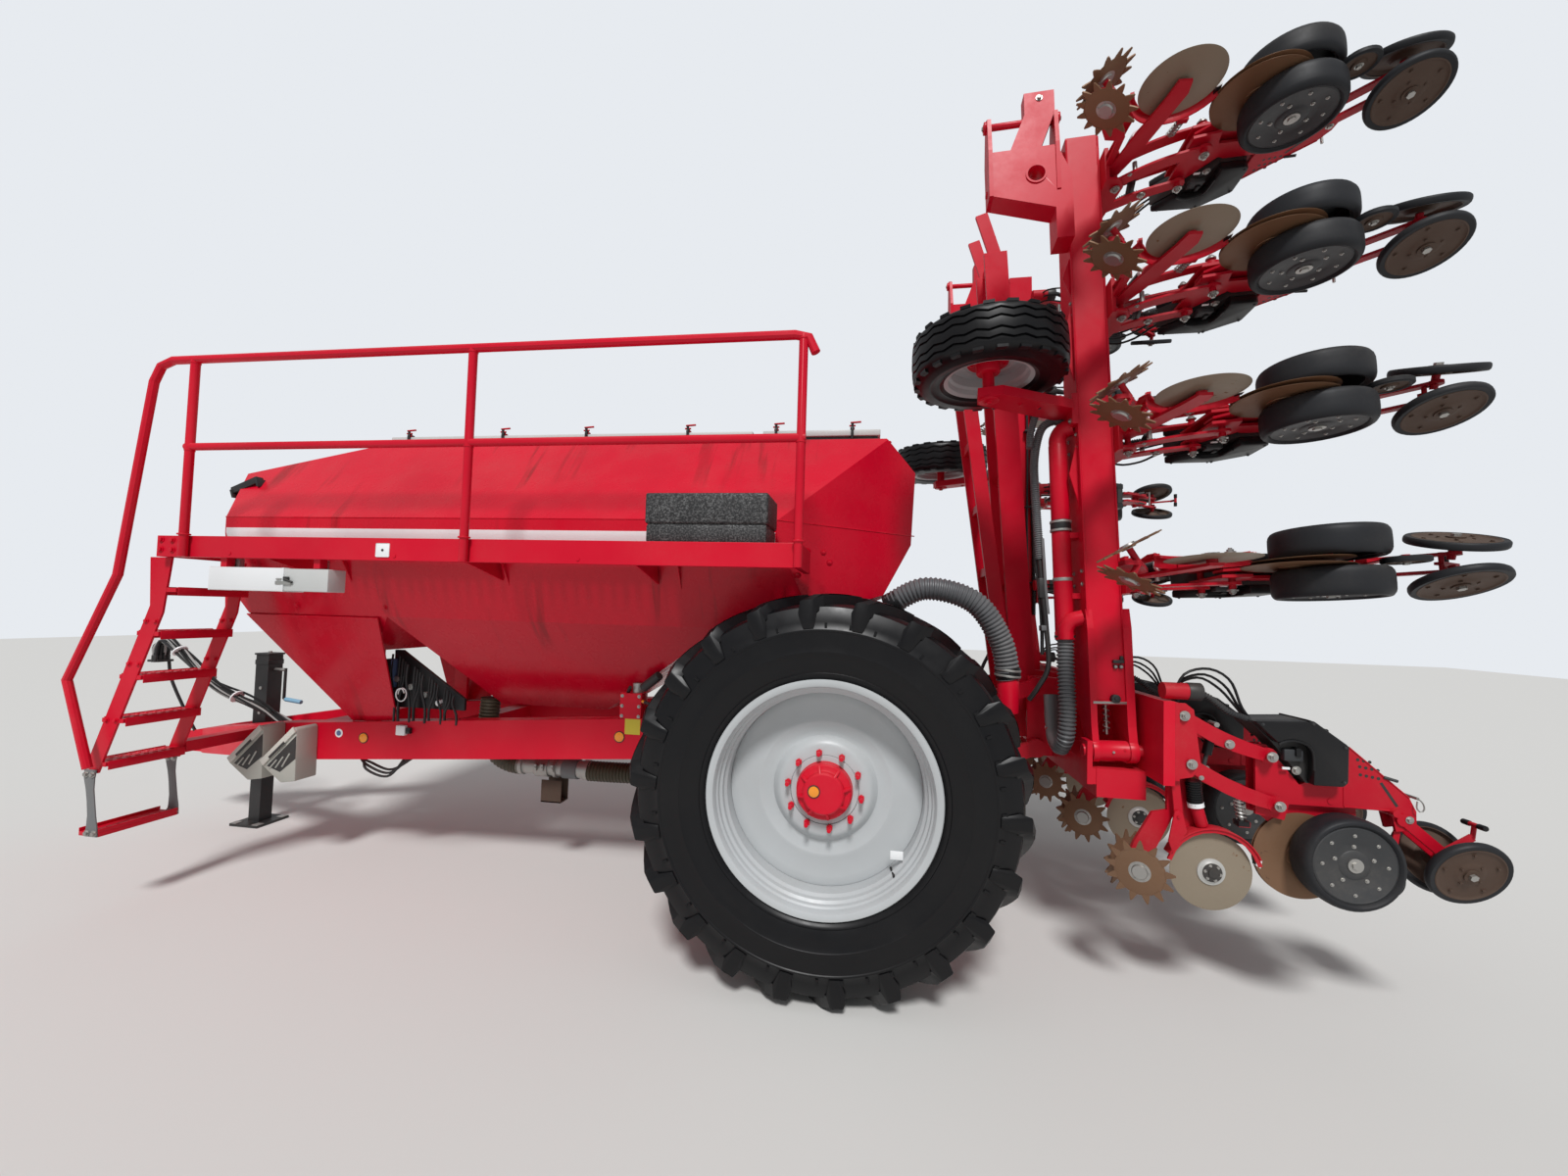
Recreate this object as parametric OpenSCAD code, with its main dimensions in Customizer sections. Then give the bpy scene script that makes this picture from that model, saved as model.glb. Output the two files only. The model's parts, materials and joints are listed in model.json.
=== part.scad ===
/* [Wheels and axle] */
// Outer diameter of a road tyre
tyre_d = 1950; // [1800:10:2050]
// Width of a road tyre
tyre_w = 520; // [420:10:560]
// Diameter of the seat that the tyre sits on
rim_d = 1067; // [1000:1:1100]
// Distance between the middles of the two road wheels
track = 2400; // [2340:10:2600]
// Radius of a wheel spindle
spindle_r = 45; // [40:1:50]
// Radial running clearance of everything that turns
run_gap = 0.05; // [0.02:0.01:0.10]

/* [Chassis] */
// Distance from the axle forward to the middle of the hitch eye
hitch_reach = 5460; // [5300:10:5800]
// Outside radius of the hitch eye
eye_r = 85; // [75:1:95]
// Radius of the hole in the hitch eye
eye_bore_r = 25; // [20:1:30]
// Height of a side rail
rail_h = 260; // [220:5:300]
// Thickness of a side rail
rail_w = 110; // [90:5:130]
// Distance between the middles of the side rails
rail_gauge = 980; // [900:10:1060]

/* [Hopper] */
// Width of the hopper at its fold line
hopper_w = 2000; // [1900:10:2040]
// Width of the hopper's flat roof
roof_w = 1000; // [900:10:1100]
// Height of the roof above the floor
roof_z = 2960; // [2900:5:3050]
// Height of the fold line above the floor
fold_z = 2360; // [2320:5:2400]
// Thickness of the hopper's wall
hopper_wall = 8; // [6:1:12]
// Thickness of a lid
lid_h = 45; // [35:1:60]

/* [Platform and ladder] */
// Height of the platform's upper face
deck_z = 2180; // [2140:5:2220]
// Distance from the middle of the machine to the platform's outer edge
deck_y = 1450; // [1420:5:1480]
// Length of the platform
deck_len = 3690; // [3500:10:3800]
// Height of the top rail above the platform
rail_rise = 1000; // [900:10:1100]
// Radius of the handrail tube
hand_r = 22; // [17:1:26]

/* [Toolbar and wings] */
// Distance between two seed rows
row_pitch = 750; // [740:5:760]
// Height of the fold hinge above the floor
hinge_z = 1195; // [1190:5:1210]
// Distance from the middle of the machine to a fold hinge
hinge_y = 985; // [975:5:995]
// Angle of a folded wing, 90 is upright
fold_deg = 93; // [90:1:95]
// Angle by which the fold hinges' axis falls to the front
fold_pitch = 1.75; // [0:0.25:2.5]
// Length of a wing beam from its hinge
wing_len = 3400; // [3350:10:3500]
// Height that the toolbar is lowered by
lift_travel = 500; // [400:10:500]
// Diameter of a wing's support wheel
support_d = 780; // [740:10:800]

/* [Row units] */
// Diameter of a gauge wheel
gauge_d = 405; // [385:5:410]
// Width of a gauge wheel
gauge_w = 125; // [110:5:130]
// Diameter of a closing wheel
closing_d = 310; // [290:5:320]
// Diameter of a fertiliser disc
fert_d = 356; // [340:4:368]
// Diameter of an opener disc
opener_d = 390; // [370:5:395]
// Diameter of a row cleaner star
star_d = 285; // [270:5:300]

/* [Hidden] */
$fn = 48;

red = [0.80, 0.04, 0.07];
pale = [0.80, 0.81, 0.80];
steel = [0.55, 0.53, 0.50];
dark = [0.10, 0.10, 0.11];
rust = [0.38, 0.25, 0.17];

// The frame's origin is under the middle of the machine, so the axle lies behind it
closing_x = -2790;
x_front = hitch_reach + eye_r;
x_rear = closing_x - closing_d / 2;
axle_x = -(x_front + x_rear) / 2;
axle_z = tyre_d / 2;

module from_axle() translate([axle_x, 0, 0]) children();

// Plate whose outline is in X and Z, from y0 to y0 + t
module y_plate(points, y0, t)
    translate([0, y0 + t, 0]) rotate([90, 0, 0]) linear_extrude(t) polygon(points);

// Round bar along Y from y0 to y1
module y_rod(x, z, r, y0, y1)
    translate([x, y1, z]) rotate([90, 0, 0]) cylinder(h = y1 - y0, r = r);

// Block given by its two corners
module block(a, b) translate(a) cube(b - a);

// Round bar between two points
module rod(p, q, r) {
    d = q - p;
    len = norm(d);
    translate(p) rotate([0, acos(d[2] / len), atan2(d[1], d[0])]) cylinder(h = len, r = r);
}

// Flat bar in X and Z between two points, w high and from y0 to y0 + t
module flat_bar(p, q, w, y0, t) {
    d = q - p;
    len = norm(d);
    translate([p[0], y0, p[1]]) rotate([0, -atan2(d[1], d[0]), 0])
        translate([0, 0, -w / 2]) cube([len, t, w]);
}

// Flat bar with round eyes at both ends
module eye_bar(p, q, w, y0, t) {
    flat_bar(p, q, w, y0, t);
    for (e = [p, q]) y_rod(e[0], e[1], w * 0.62, y0 - 1, y0 + t + 1);
}

// Points of a smooth curve through p, n steps to each stretch
function curve_at(a, b, c, d, t) = 0.5 * ((2 * b) + (c - a) * t + (2 * a - 5 * b + 4 * c - d) * t * t
    + (3 * b - a - 3 * c + d) * t * t * t);
function curve(p, n) = let (m = len(p) - 1) concat(
    [for (i = [0:m - 1]) for (k = [0:n - 1])
        curve_at(p[max(i - 1, 0)], p[i], p[i + 1], p[min(i + 2, m)], k / n)], [p[m]]);
function unit(v) = v / norm(v);
function along(p, i) = unit(p[min(i + 1, len(p) - 1)] - p[max(i - 1, 0)]);

// Tube with n sides that follows the points p, its rings turned by the direction ref
module sweep(p, r, n = 10, ref = [0, 1, 0]) {
    rings = [for (i = [0:len(p) - 1]) let (t = along(p, i), a = unit(cross(ref, t)), b = cross(t, a))
        for (k = [0:n - 1]) p[i] + r * (cos(k * 360 / n) * a + sin(k * 360 / n) * b)];
    last = (len(p) - 1) * n;
    sides = [for (i = [0:len(p) - 2]) for (k = [0:n - 1])
        [i * n + k, (i + 1) * n + k, (i + 1) * n + (k + 1) % n, i * n + (k + 1) % n]];
    caps = [[for (k = [0:n - 1]) k], [for (k = [n - 1:-1:0]) last + k]];
    polyhedron(rings, concat(sides, caps), 6);
}

// Side rails

rail_y = rail_gauge / 2;
rail_rear_x = -640;
rear_cross_x = -280;
rail_bend_x = 3950;
rail_slope = -0.066;
function rail_top(x) = 1210 + rail_slope * x;
function rail_mid(x) = rail_top(x) - rail_h / 2;
rail_outline = [[rail_rear_x, rail_top(rail_rear_x) - rail_h], [rail_bend_x, rail_top(rail_bend_x) - rail_h],
    [rail_bend_x, rail_top(rail_bend_x)], [rail_rear_x, rail_top(rail_rear_x)]];

// Parallel links of the toolbar's lift
link_len = 850;
link_deg = asin(lift_travel / 2 / link_len);
link_x = -430;
link_low_z = 800;
link_top_z = 1180;
link_y = 330;
link_t = 40;
link_end_x = link_x - link_len * cos(link_deg);
link_rise = lift_travel / 2;
link_pin_r = 25;

module main_frame() color(red) from_axle() {
    for (side = [-1, 1])
        y_plate(rail_outline, side * rail_y - rail_w / 2, rail_w);
    cross_w = rail_gauge - rail_w;
    // Cross tubes: x, height
    for (c = [[rear_cross_x, 200], [1000, 200], [2700, 180], [3800, 200]])
        block([c[0] - 70, -cross_w / 2, rail_mid(c[0]) - c[1] / 2],
            [c[0] + 70, cross_w / 2, rail_mid(c[0]) + c[1] / 2]);
    // Ears that carry the links
    for (side = [-1, 1]) for (dy = [-link_t / 2 - 21, link_t / 2 + 1])
        difference() {
            y_plate([[link_x - 60, link_low_z - 60], [rear_cross_x, link_low_z - 60],
                [rear_cross_x, link_top_z + 60], [link_x - 60, link_top_z + 60]], side * link_y + dy, 20);
            for (z = [link_low_z, link_top_z])
                y_rod(link_x, z, link_pin_r, side * link_y - 200, side * link_y + 200);
        }
    for (side = [-1, 1]) for (z = [link_low_z, link_top_z])
        y_rod(link_x, z, link_pin_r, side * link_y - link_t / 2 - 30, side * link_y + link_t / 2 + 30);
    block([rear_cross_x - 60, -link_y + link_t / 2 + 10, link_low_z - 50],
        [rear_cross_x - 10, link_y - link_t / 2 - 10, link_low_z + 60]);
}

axle_beam = 180;
wheel_y = track / 2;
beam_end_y = wheel_y - 210;

module axle() color(red) from_axle() {
    block([-axle_beam / 2, -beam_end_y, axle_z - 215],
        [axle_beam / 2, beam_end_y, rail_top(axle_beam / 2) - rail_h - 0.3]);
    for (side = [0, 1]) mirror([0, side, 0]) {
        block([-axle_beam / 2, beam_end_y - 350, axle_z - 110],
            [axle_beam / 2, beam_end_y - 10, axle_z + 90]);
        y_rod(0, axle_z, spindle_r, beam_end_y - 50, wheel_y + 70);
    }
}

// Drawbar: two arms that close in from the side rails to the hitch

arm_front_x = hitch_reach - 310;
hitch_z = 600;
eye_h = 60;
module drawbar() color(red) from_axle() {
    intersection() {
        linear_extrude(1500) union() {
            for (s = [-1, 1])
                polygon([[rail_bend_x + 0.3, s * (rail_y + rail_w / 2)],
                    [rail_bend_x + 0.3, s * (rail_y - rail_w / 2)], [arm_front_x, s * 10],
                    [arm_front_x + 40, s * 110]]);
            translate([arm_front_x - 60, -90]) square([hitch_reach - arm_front_x, 180]);
        }
        y_plate([[rail_bend_x, rail_top(rail_bend_x) - rail_h], [arm_front_x, hitch_z - 40],
            [hitch_reach, hitch_z - 40], [hitch_reach, hitch_z + 100], [arm_front_x, hitch_z + 160],
            [rail_bend_x, rail_top(rail_bend_x)]], -800, 1600);
    }
    // Bracket that carries the ladder
    block([ladder_x + 330, rail_y - 70, 830], [ladder_x + 430, ladder_w[0] - 10.3, 900]);
    // Cross plate that holds the jack
    block([jack_x - jack_out - 30, -200, 600], [jack_x - jack_out - 0.3, 200, 800]);
    difference() {
        union() {
            translate([hitch_reach, 0, hitch_z]) cylinder(h = eye_h, r = eye_r);
            block([hitch_reach - 70 - eye_r, -45, hitch_z], [hitch_reach - 40, 45, hitch_z + eye_h]);
        }
        translate([hitch_reach, 0, hitch_z - 10]) cylinder(h = eye_h + 20, r = eye_bore_r);
    }
}

// Parking jack

jack_x = hitch_reach - 740;
jack_top = 1370;
jack_out = 60;
jack_gap = 1;
jack_wall = 8;
module jack_housing() color(dark) from_axle() {
    difference() {
        block([jack_x - jack_out, -jack_out, 420], [jack_x + jack_out, jack_out, jack_top]);
        block([jack_x - jack_out + jack_wall, -jack_out + jack_wall, 410],
            [jack_x + jack_out - jack_wall, jack_out - jack_wall, jack_top - jack_wall]);
    }
}
module jack_leg() color(steel) from_axle() {
    in = jack_out - jack_wall - jack_gap;
    block([jack_x - in, -in, 12], [jack_x + in, in, 880]);
    block([jack_x - 130, -130, 0], [jack_x + 130, 130, 20]);
}

// Hopper

hopper_front_x = 4250;
hopper_rear_x = -470;
band_z = 2260;
skirt_z = 1740;
skirt_y = 820;
outlet_z = 1130;
side_outline = [[hopper_front_x, band_z + 40], [hopper_front_x, 2690], [3330, roof_z], [-280, roof_z],
    [hopper_rear_x, 2770], [hopper_rear_x + 20, 2300], [-280, 1970], [950, 1560], [1600, outlet_z],
    [2400, outlet_z], [2900, skirt_z], [3150, 1500], [3600, 1500], [3950, skirt_z]];
cross_half = [[roof_w / 2, roof_z], [hopper_w / 2, fold_z], [hopper_w / 2, band_z], [skirt_y, skirt_z],
    [300, outlet_z]];
plan_half = [[hopper_front_x, 600], [3950, hopper_w / 2], [320, hopper_w / 2], [hopper_rear_x, 360]];

function mirrored(p) = concat(p, [for (i = [len(p) - 1:-1:0]) [-p[i][0], p[i][1]]]);
function mirrored_y(p) = concat(p, [for (i = [len(p) - 1:-1:0]) [p[i][0], -p[i][1]]]);

// Shape of the hopper, its faces moved in by inset
module hopper_form(inset) {
    intersection() {
        translate([0, 1100, 0]) rotate([90, 0, 0]) linear_extrude(2200)
            offset(delta = -inset) polygon(side_outline);
        translate([-1000, 0, 0]) rotate([90, 0, 90]) linear_extrude(6000)
            offset(delta = -inset) polygon(mirrored(cross_half));
        linear_extrude(3500) offset(delta = -inset) polygon(mirrored_y(plan_half));
    }
}

divider_x = 560;
lid_half = 430;
hole_half = 380;
// Lids and the openings under them: x from, x to
lid_front_x = [600, 3300];
lid_rear_x = [-240, 530];
hole_in = 60;

module hopper() color(red) from_axle() {
    difference() {
        union() {
            hopper_form(0);
            // Feet on the side rails: x, top
            for (side = [-1, 1]) for (f = [[600, 1700], [3300, 1520]]) let (y = side * (rail_y - 35))
                block([f[0] - 60, y - 15, rail_top(f[0] - 60) + 0.3], [f[0] + 60, y + 15, f[1]]);
        }
        difference() {
            hopper_form(hopper_wall);
            block([divider_x - hopper_wall / 2, -1100, 1000], [divider_x + hopper_wall / 2, 1100, 3200]);
        }
        for (x = [lid_front_x, lid_rear_x])
            block([x[0] + hole_in, -hole_half, roof_z - 50], [x[1] - hole_in, hole_half, roof_z + 50]);
    }
}

module lid(x) {
    block([x[0], -lid_half, roof_z + 1], [x[1], lid_half, roof_z + lid_h]);
}
module lid_front() color(pale) from_axle() lid(lid_front_x);
module lid_rear() color(pale) from_axle() lid(lid_rear_x);

// Plate that leans from the hopper's lower edge in to the top of a side rail
plate_lean = 24;
plate_t = 12;
function lean_down(x) = -(skirt_z - rail_top(x) - 0.3) / cos(plate_lean) + plate_t * tan(plate_lean);
module funnel_plate(side) color(red) from_axle() mirror([0, side < 0 ? 1 : 0, 0])
    translate([0, skirt_y + 1, skirt_z]) rotate([-plate_lean, 0, 0])
        y_plate([[3960, -6], [2960, -6], [3060, lean_down(3060)], [3420, lean_down(3420)]], 0, plate_t);
module funnel_plate_left() funnel_plate(1);
module funnel_plate_right() funnel_plate(-1);

// Platform

deck_rear_x = 130;
deck_front_x = deck_rear_x + deck_len;
ladder_x = deck_front_x;
deck_in_y = hopper_w / 2 + 2;
edge_h = 120;
edge_t = 30;
slot_pitch = 80;
function wall_y(z) = hopper_w / 2 + (skirt_y - hopper_w / 2) * (band_z - z) / (band_z - skirt_z) + 1;
module platform() color(red) from_axle() {
    block([deck_rear_x, deck_y - edge_t, deck_z - edge_h], [deck_front_x, deck_y, deck_z]);
    for (x = [deck_rear_x, deck_front_x - edge_t])
        block([x, deck_in_y, deck_z - edge_h], [x + edge_t, deck_y, deck_z]);
    // Deck with slots across it
    translate([0, 0, deck_z - 34]) linear_extrude(24) difference() {
        translate([deck_rear_x, deck_in_y]) square([deck_len, deck_y - 10 - deck_in_y]);
        for (x = [deck_rear_x + 80:slot_pitch:deck_front_x - 100])
            translate([x, deck_in_y + 50]) square([slot_pitch / 2, deck_y - deck_in_y - 130]);
    }
    // Straps that hold the document box
    for (x = [doc_x[0] + 60, doc_x[1] - 100])
        block([x, deck_y - 65, doc_top + 0.3], [x + 40, deck_y - 20, deck_z - 20]);
    // Brackets under the deck
    for (x = [deck_rear_x + 900, deck_rear_x + 1900, deck_front_x - 500])
        translate([x, 0, 0]) rotate([90, 0, 90]) linear_extrude(12)
            polygon([[wall_y(deck_z - 30), deck_z - 30], [deck_y - 50, deck_z - 30],
                [deck_y - 50, deck_z - 70], [wall_y(deck_z - 190), deck_z - 190]]);
}

doc_x = [2710, 3470];
doc_top = 2010;
post_x = [deck_front_x - 210, deck_rear_x + 1750, deck_rear_x + 10];
module railing() color(red) from_axle() {
    top = deck_z + rail_rise;
    y = deck_y + hand_r + 1;
    for (x = post_x) rod([x, y, deck_z - edge_h], [x, y, top - 2], hand_r);
    rod([post_x[2] - hand_r, y, top - 500], [post_x[0] + hand_r, y, top - 500], hand_r - 1);
    sweep([[post_x[2] - 60, y, top - 90], [post_x[2] - 25, y, top - 15], [post_x[2] + 40, y, top],
        [ladder_x - 60, y, top], [ladder_x + 20, y, top - 30], [ladder_x + 65, y, top - 120],
        [ladder_x + 220, y, 1950], [ladder_x + 520, y, 1340], [ladder_x + 330, y, 850]], hand_r + 1, 10);
}

ladder_w = [1000, 1400];
step_rise = 255;
step_run = 100;
module ladder() color(red) from_axle() {
    for (y = ladder_w)
        y_plate([[ladder_x - 40, deck_z - edge_h - 0.3], [ladder_x + 110, deck_z - edge_h - 0.3],
            [ladder_x + 90, 1780], [ladder_x + 460, 830], [ladder_x + 370, 800], [ladder_x, 1740]],
            y - 10, 12);
    for (i = [0:4])
        block([ladder_x + 320 - i * step_run, ladder_w[0], 840 + i * step_rise],
            [ladder_x + 470 - i * step_run, ladder_w[1], 865 + i * step_rise]);
}
module bottom_step() color(red) from_axle() {
    for (y = ladder_w)
        y_plate([[ladder_x + 380, 820], [ladder_x + 440, 820], [ladder_x + 420, 440], [ladder_x + 360, 440]],
            y + 4, 8);
    block([ladder_x + 330, ladder_w[0] + 12, 440], [ladder_x + 470, ladder_w[1] + 4, 465]);
}

module document_box() color(pale) from_axle() {
    block([doc_x[0], deck_y - 130, 1880], [doc_x[1], deck_y - 10, doc_top]);
}
module tool_box() color(dark) from_axle() {
    block([300, 1130, deck_z - 9.7], [930, 1415, deck_z + 250]);
}
module wheel_chocks() color(pale) from_axle() {
    for (x = [3700, 3850])
        y_plate([[x, 850], [x + 120, 880], [x + 250, 640], [x + 60, 620]], rail_y + rail_w / 2 + 0.3, 160);
}

hose_r = 70;
under_route = [[2500, 290, 1170], [2500, 290, 900], [2380, 290, 740], [2100, 290, 700], [1400, 290, 700],
    [1000, 290, 740], [760, 290, 820]];
module under_hose() color(dark) from_axle()
    sweep(curve(under_route, 3), 60, 10);

main_hose_route = [[-300, 600, 1900], [-520, 650, 2010], [-800, 650, 1940], [-960, 620, 1720],
    [-1010, 600, 1500]];
module main_hose() color(dark) from_axle() sweep(curve(main_hose_route, 4), hose_r, 12);

// Road wheels, drawn about Z with the outer side up

module upright(side)
    from_axle() translate([0, side * wheel_y, axle_z]) mirror([0, side < 0 ? 1 : 0, 0])
        rotate([-90, 0, 0]) children();

seat_r = rim_d / 2;
tyre_r = tyre_d / 2;
bead_half = tyre_w * 0.41;
lug_h = 42;
lugs = 22;
tread_n = 2 * lugs;
// Half of a tyre's outline, from the bead out: radius, height
tyre_half = [[(seat_r + 0.3) / cos(180 / tread_n), bead_half], [seat_r + 32, bead_half],
    [seat_r + 180, tyre_w / 2], [tyre_r - lug_h, tyre_w * 0.47]];
function both_sides(p) = concat([for (e = p) [e[0], -e[1]]], [for (i = [len(p) - 1:-1:0]) p[i]]);

// Block between two ends, each given by its angle, height and outer radius; w wide and h deep
function corner(e, t, r) = [r * cos(e[0]) - t * sin(e[0]), r * sin(e[0]) + t * cos(e[0]), e[1]];
module lug(p, q, w, h) hull() polyhedron(
    [for (e = [p, q]) for (c = [[-1, 1], [1, 1], [1, 0], [-1, 0]]) corner(e, c[0] * w / 2, e[2] - c[1] * h)],
    [[0, 1, 2, 3], [7, 6, 5, 4], [0, 4, 5, 1], [1, 5, 6, 2], [2, 6, 7, 3], [3, 7, 4, 0]]);

module tyre(side) color(dark) upright(side) {
    rotate_extrude($fn = tread_n) polygon(both_sides(tyre_half));
    for (up = [0, 1]) mirror([0, 0, up]) for (k = [0:lugs - 1]) let (a = (k + up / 2) * 360 / lugs)
        lug([a, 12, tyre_r - 0.5], [a + 14, tyre_w * 0.455, tyre_r - 26], 52, 60);
}
module tyre_left() tyre(1);
module tyre_right() tyre(-1);

flange_r = seat_r + 27;
dish_z = 40;
hub_r = 170;
rim_t = 14;
rim_outline = [[seat_r, -bead_half - 1], [flange_r, -bead_half - 1], [flange_r, -bead_half - 22],
    [seat_r - rim_t, -bead_half - 22],
    [seat_r - rim_t, dish_z - 20], [hub_r + 130, dish_z - 20], [hub_r + 60, dish_z - 60],
    [hub_r + 0.3, dish_z - 60], [hub_r + 0.3, dish_z - 46], [hub_r + 55, dish_z - 46],
    [hub_r + 125, dish_z - 6], [seat_r - rim_t - 30, dish_z - 6], [seat_r - rim_t, dish_z + 20],
    [seat_r - rim_t, bead_half + 22], [flange_r, bead_half + 22], [flange_r, bead_half + 1], [seat_r, bead_half + 1]];
module rim(side) color(pale) upright(side) rotate_extrude($fn = 96) polygon(rim_outline);
module rim_left() rim(1);
module rim_right() rim(-1);

module hub(side) color(red) upright(side) {
    rotate_extrude() polygon([[spindle_r + run_gap, -120], [110, -120], [120, dish_z - 75],
        [hub_r, dish_z - 75], [hub_r, dish_z - 30], [105, dish_z - 20], [95, dish_z + 80],
        [0, dish_z + 95], [0, 80],
        [spindle_r + run_gap, 80]]);
    for (k = [0:9]) rotate([0, 0, k * 36])
        translate([hub_r - 32, 0, dish_z - 40]) cylinder(h = 45, r = 13, $fn = 6);
}
module hub_left() hub(1);
module hub_right() hub(-1);

// Lift links

module links(z) color(red) from_axle() {
    for (side = [-1, 1]) difference() {
        eye_bar([link_x, z], [link_end_x, z + link_rise], 90, side * link_y - link_t / 2, link_t);
        y_rod(link_x, z, link_pin_r + run_gap, side * link_y - 100, side * link_y + 100);
    }
}
module lower_links() links(link_low_z);
module top_links() links(link_top_z);

// Toolbar: a low beam under the hinges and a tall plate behind it that carries the rows

bar_front_x = -1345;
bar_rear_x = -1575;
bar_low_z = 970;
bar_top_z = 1110;
row_face_x = -1620;
row_plate_t = 50;
row_low_z = 1095;
row_top_z = 1485;
head_half = 95;
hinge_x = -1447;
hinge_r = 30;
leaf_r = 58;
wing_front_x = -1340;
wing_rear_x = -1510;
foot_rear_x = -1545;
ear_t = 25;
ear_gap = 14;
ear_half = 50;

// Round bar along the tilted axis of the fold hinges
module hinge_rod(len, r) rotate([0, 90 + fold_pitch, 0]) cylinder(h = len, r = r, center = true);

module toolbar() color(red) from_axle() {
    row_half = 1.5 * row_pitch + head_half;
    block([bar_rear_x, -hinge_y - ear_half, bar_low_z], [bar_front_x, hinge_y + ear_half, bar_top_z]);
    block([row_face_x, -row_half, row_low_z], [row_face_x + row_plate_t, row_half, row_top_z]);
    for (side = [-1, 1]) {
        // Plates beside the link eyes, and gussets
        y_plate([[link_end_x + 50, bar_low_z + 30], [link_end_x + 50, link_top_z + link_rise + 60],
            [link_end_x - 60, link_top_z + link_rise + 60], [row_face_x + 20, row_top_z - 20],
            [row_face_x + 20, bar_low_z + 30]], side * (link_y - link_t / 2 - 17) - 14, 28);
        y_plate([[bar_front_x - 60, bar_top_z - 10], [row_face_x + 20, bar_top_z - 10],
            [row_face_x + 20, row_top_z - 40]], side * 620 - 10, 20);
        // Front ear of the hinge, and the pin
        x = wing_front_x + ear_gap;
        near = side * hinge_y - ear_half;
        far = side * hinge_y + ear_half;
        block([x, near + 2, bar_low_z + 60], [x + ear_t, far - 2, hinge_z + ear_half]);
        block([bar_front_x - 10, near + 4, bar_low_z + 61], [x + 1, far - 4, bar_top_z - 1]);
        translate([hinge_x, side * hinge_y, hinge_z]) hinge_rod(310, hinge_r);
    }
}

// Tower that holds the folded wings' locks, and the brace in front of it

mast_half = 150;
tower = [[-1215, 1300], [-985, 4330]];
brace = [[-1120, 1290], [-792, 3600]];
module rung(p) block([p[0] - 28, -mast_half + 10, p[1] - 28], [p[0] + 28, mast_half - 10, p[1] + 28]);
module lock_mast() color(red) from_axle() {
    for (s = [-1, 1]) {
        flat_bar(tower[0], tower[1], 150, s * mast_half - 15, 30);
        flat_bar(brace[0], brace[1], 90, s * mast_half - 14, 28);
        flat_bar(brace[1] - [8, 40], [-1010, 3900], 80, s * mast_half - 12, 24);
        flat_bar(tower[1] - [0, 20], [-890, 4600], 80, s * mast_half - 12, 24);
        y_plate([[-1060, 1250], [-1060, 1400], [-1250, 1420], [bar_rear_x + 45, bar_top_z + 0.3],
            [bar_front_x - 15, bar_top_z + 0.3], [-1270, 1250]], s * mast_half - 22, 44);
    }
    for (i = [1:5]) rung(brace[0] + (brace[1] - brace[0]) * i / 5.3);
    for (i = [1:4]) rung(tower[0] + (tower[1] - tower[0]) * i / 4);
}

// Wings, drawn lowered on the left: x as on the machine, y out from the hinge, z up from it

module wing(side)
    from_axle() translate([hinge_x, side * hinge_y, hinge_z]) rotate([0, fold_pitch, 0])
        rotate([side * fold_deg, 0, 0]) rotate([0, -fold_pitch, 0])
            mirror([0, side < 0 ? 1 : 0, 0]) translate([-hinge_x, 0, 0]) children();

// Plate from x0 to x1 whose outline is in Y and Z
module x_plate(points, x0, x1)
    translate([x0, 0, 0]) rotate([90, 0, 90]) linear_extrude(x1 - x0) polygon(points);

// Plate from z0 to z1 whose outline is in X and Y
module z_plate(points, z0, z1) translate([0, 0, z0]) linear_extrude(z1 - z0) polygon(points);

beam_low = -15;
beam_high = 265;
beam_root = 230;
tip_high = 205;
// Gussets on the beam's front: from, to, reach
gussets = [[1250, 1660, 45], [1950, 2430, 55], [2450, 2700, 40]];
module wing_beam(side) color(red) wing(side) difference() {
    union() {
        // Box that narrows to its tip
        x_plate([[beam_root, beam_low], [wing_len, beam_low + 30], [wing_len, tip_high],
            [beam_root, beam_high]], wing_rear_x, wing_front_x);
        // Cheeks of the foot, and the sleeve between them
        for (x = [[wing_front_x - 25, wing_front_x + 6], [foot_rear_x, wing_rear_x + 5]]) {
            x_plate([[0, 15 - leaf_r], [120, -28], [620, -28], [720, beam_low + 5], [720, 120],
                [420, beam_high - 25], [beam_root, beam_high - 25], [0, leaf_r - 15]], x[0], x[1]);
            translate([x[0], 0, 0]) rotate([0, 90, 0]) cylinder(h = x[1] - x[0], r = leaf_r);
        }
        translate([hinge_x, 0, 0]) hinge_rod(175, leaf_r - 8);
        for (g = gussets)
            z_plate([[wing_front_x - 5, g[0]], [wing_front_x + g[2], (g[0] + g[1]) / 2],
                [wing_front_x - 5, g[1]]], 30, 44);
        // Eye near the tip
        z_plate([[wing_front_x - 5, wing_len - 250], [wing_front_x + 85, wing_len - 105],
            [wing_front_x + 60, wing_len - 50], [wing_front_x - 5, wing_len - 40]], 61, 79);
        translate([wing_front_x + 48, wing_len - 90, 60]) cylinder(h = 20, r = 46);
    }
    translate([hinge_x, 0, 0]) hinge_rod(400, hinge_r + run_gap);
    translate([wing_front_x + 48, wing_len - 90, 50]) cylinder(h = 40, r = 24);
}
module wing_beam_left() wing_beam(1);
module wing_beam_right() wing_beam(-1);

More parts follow.
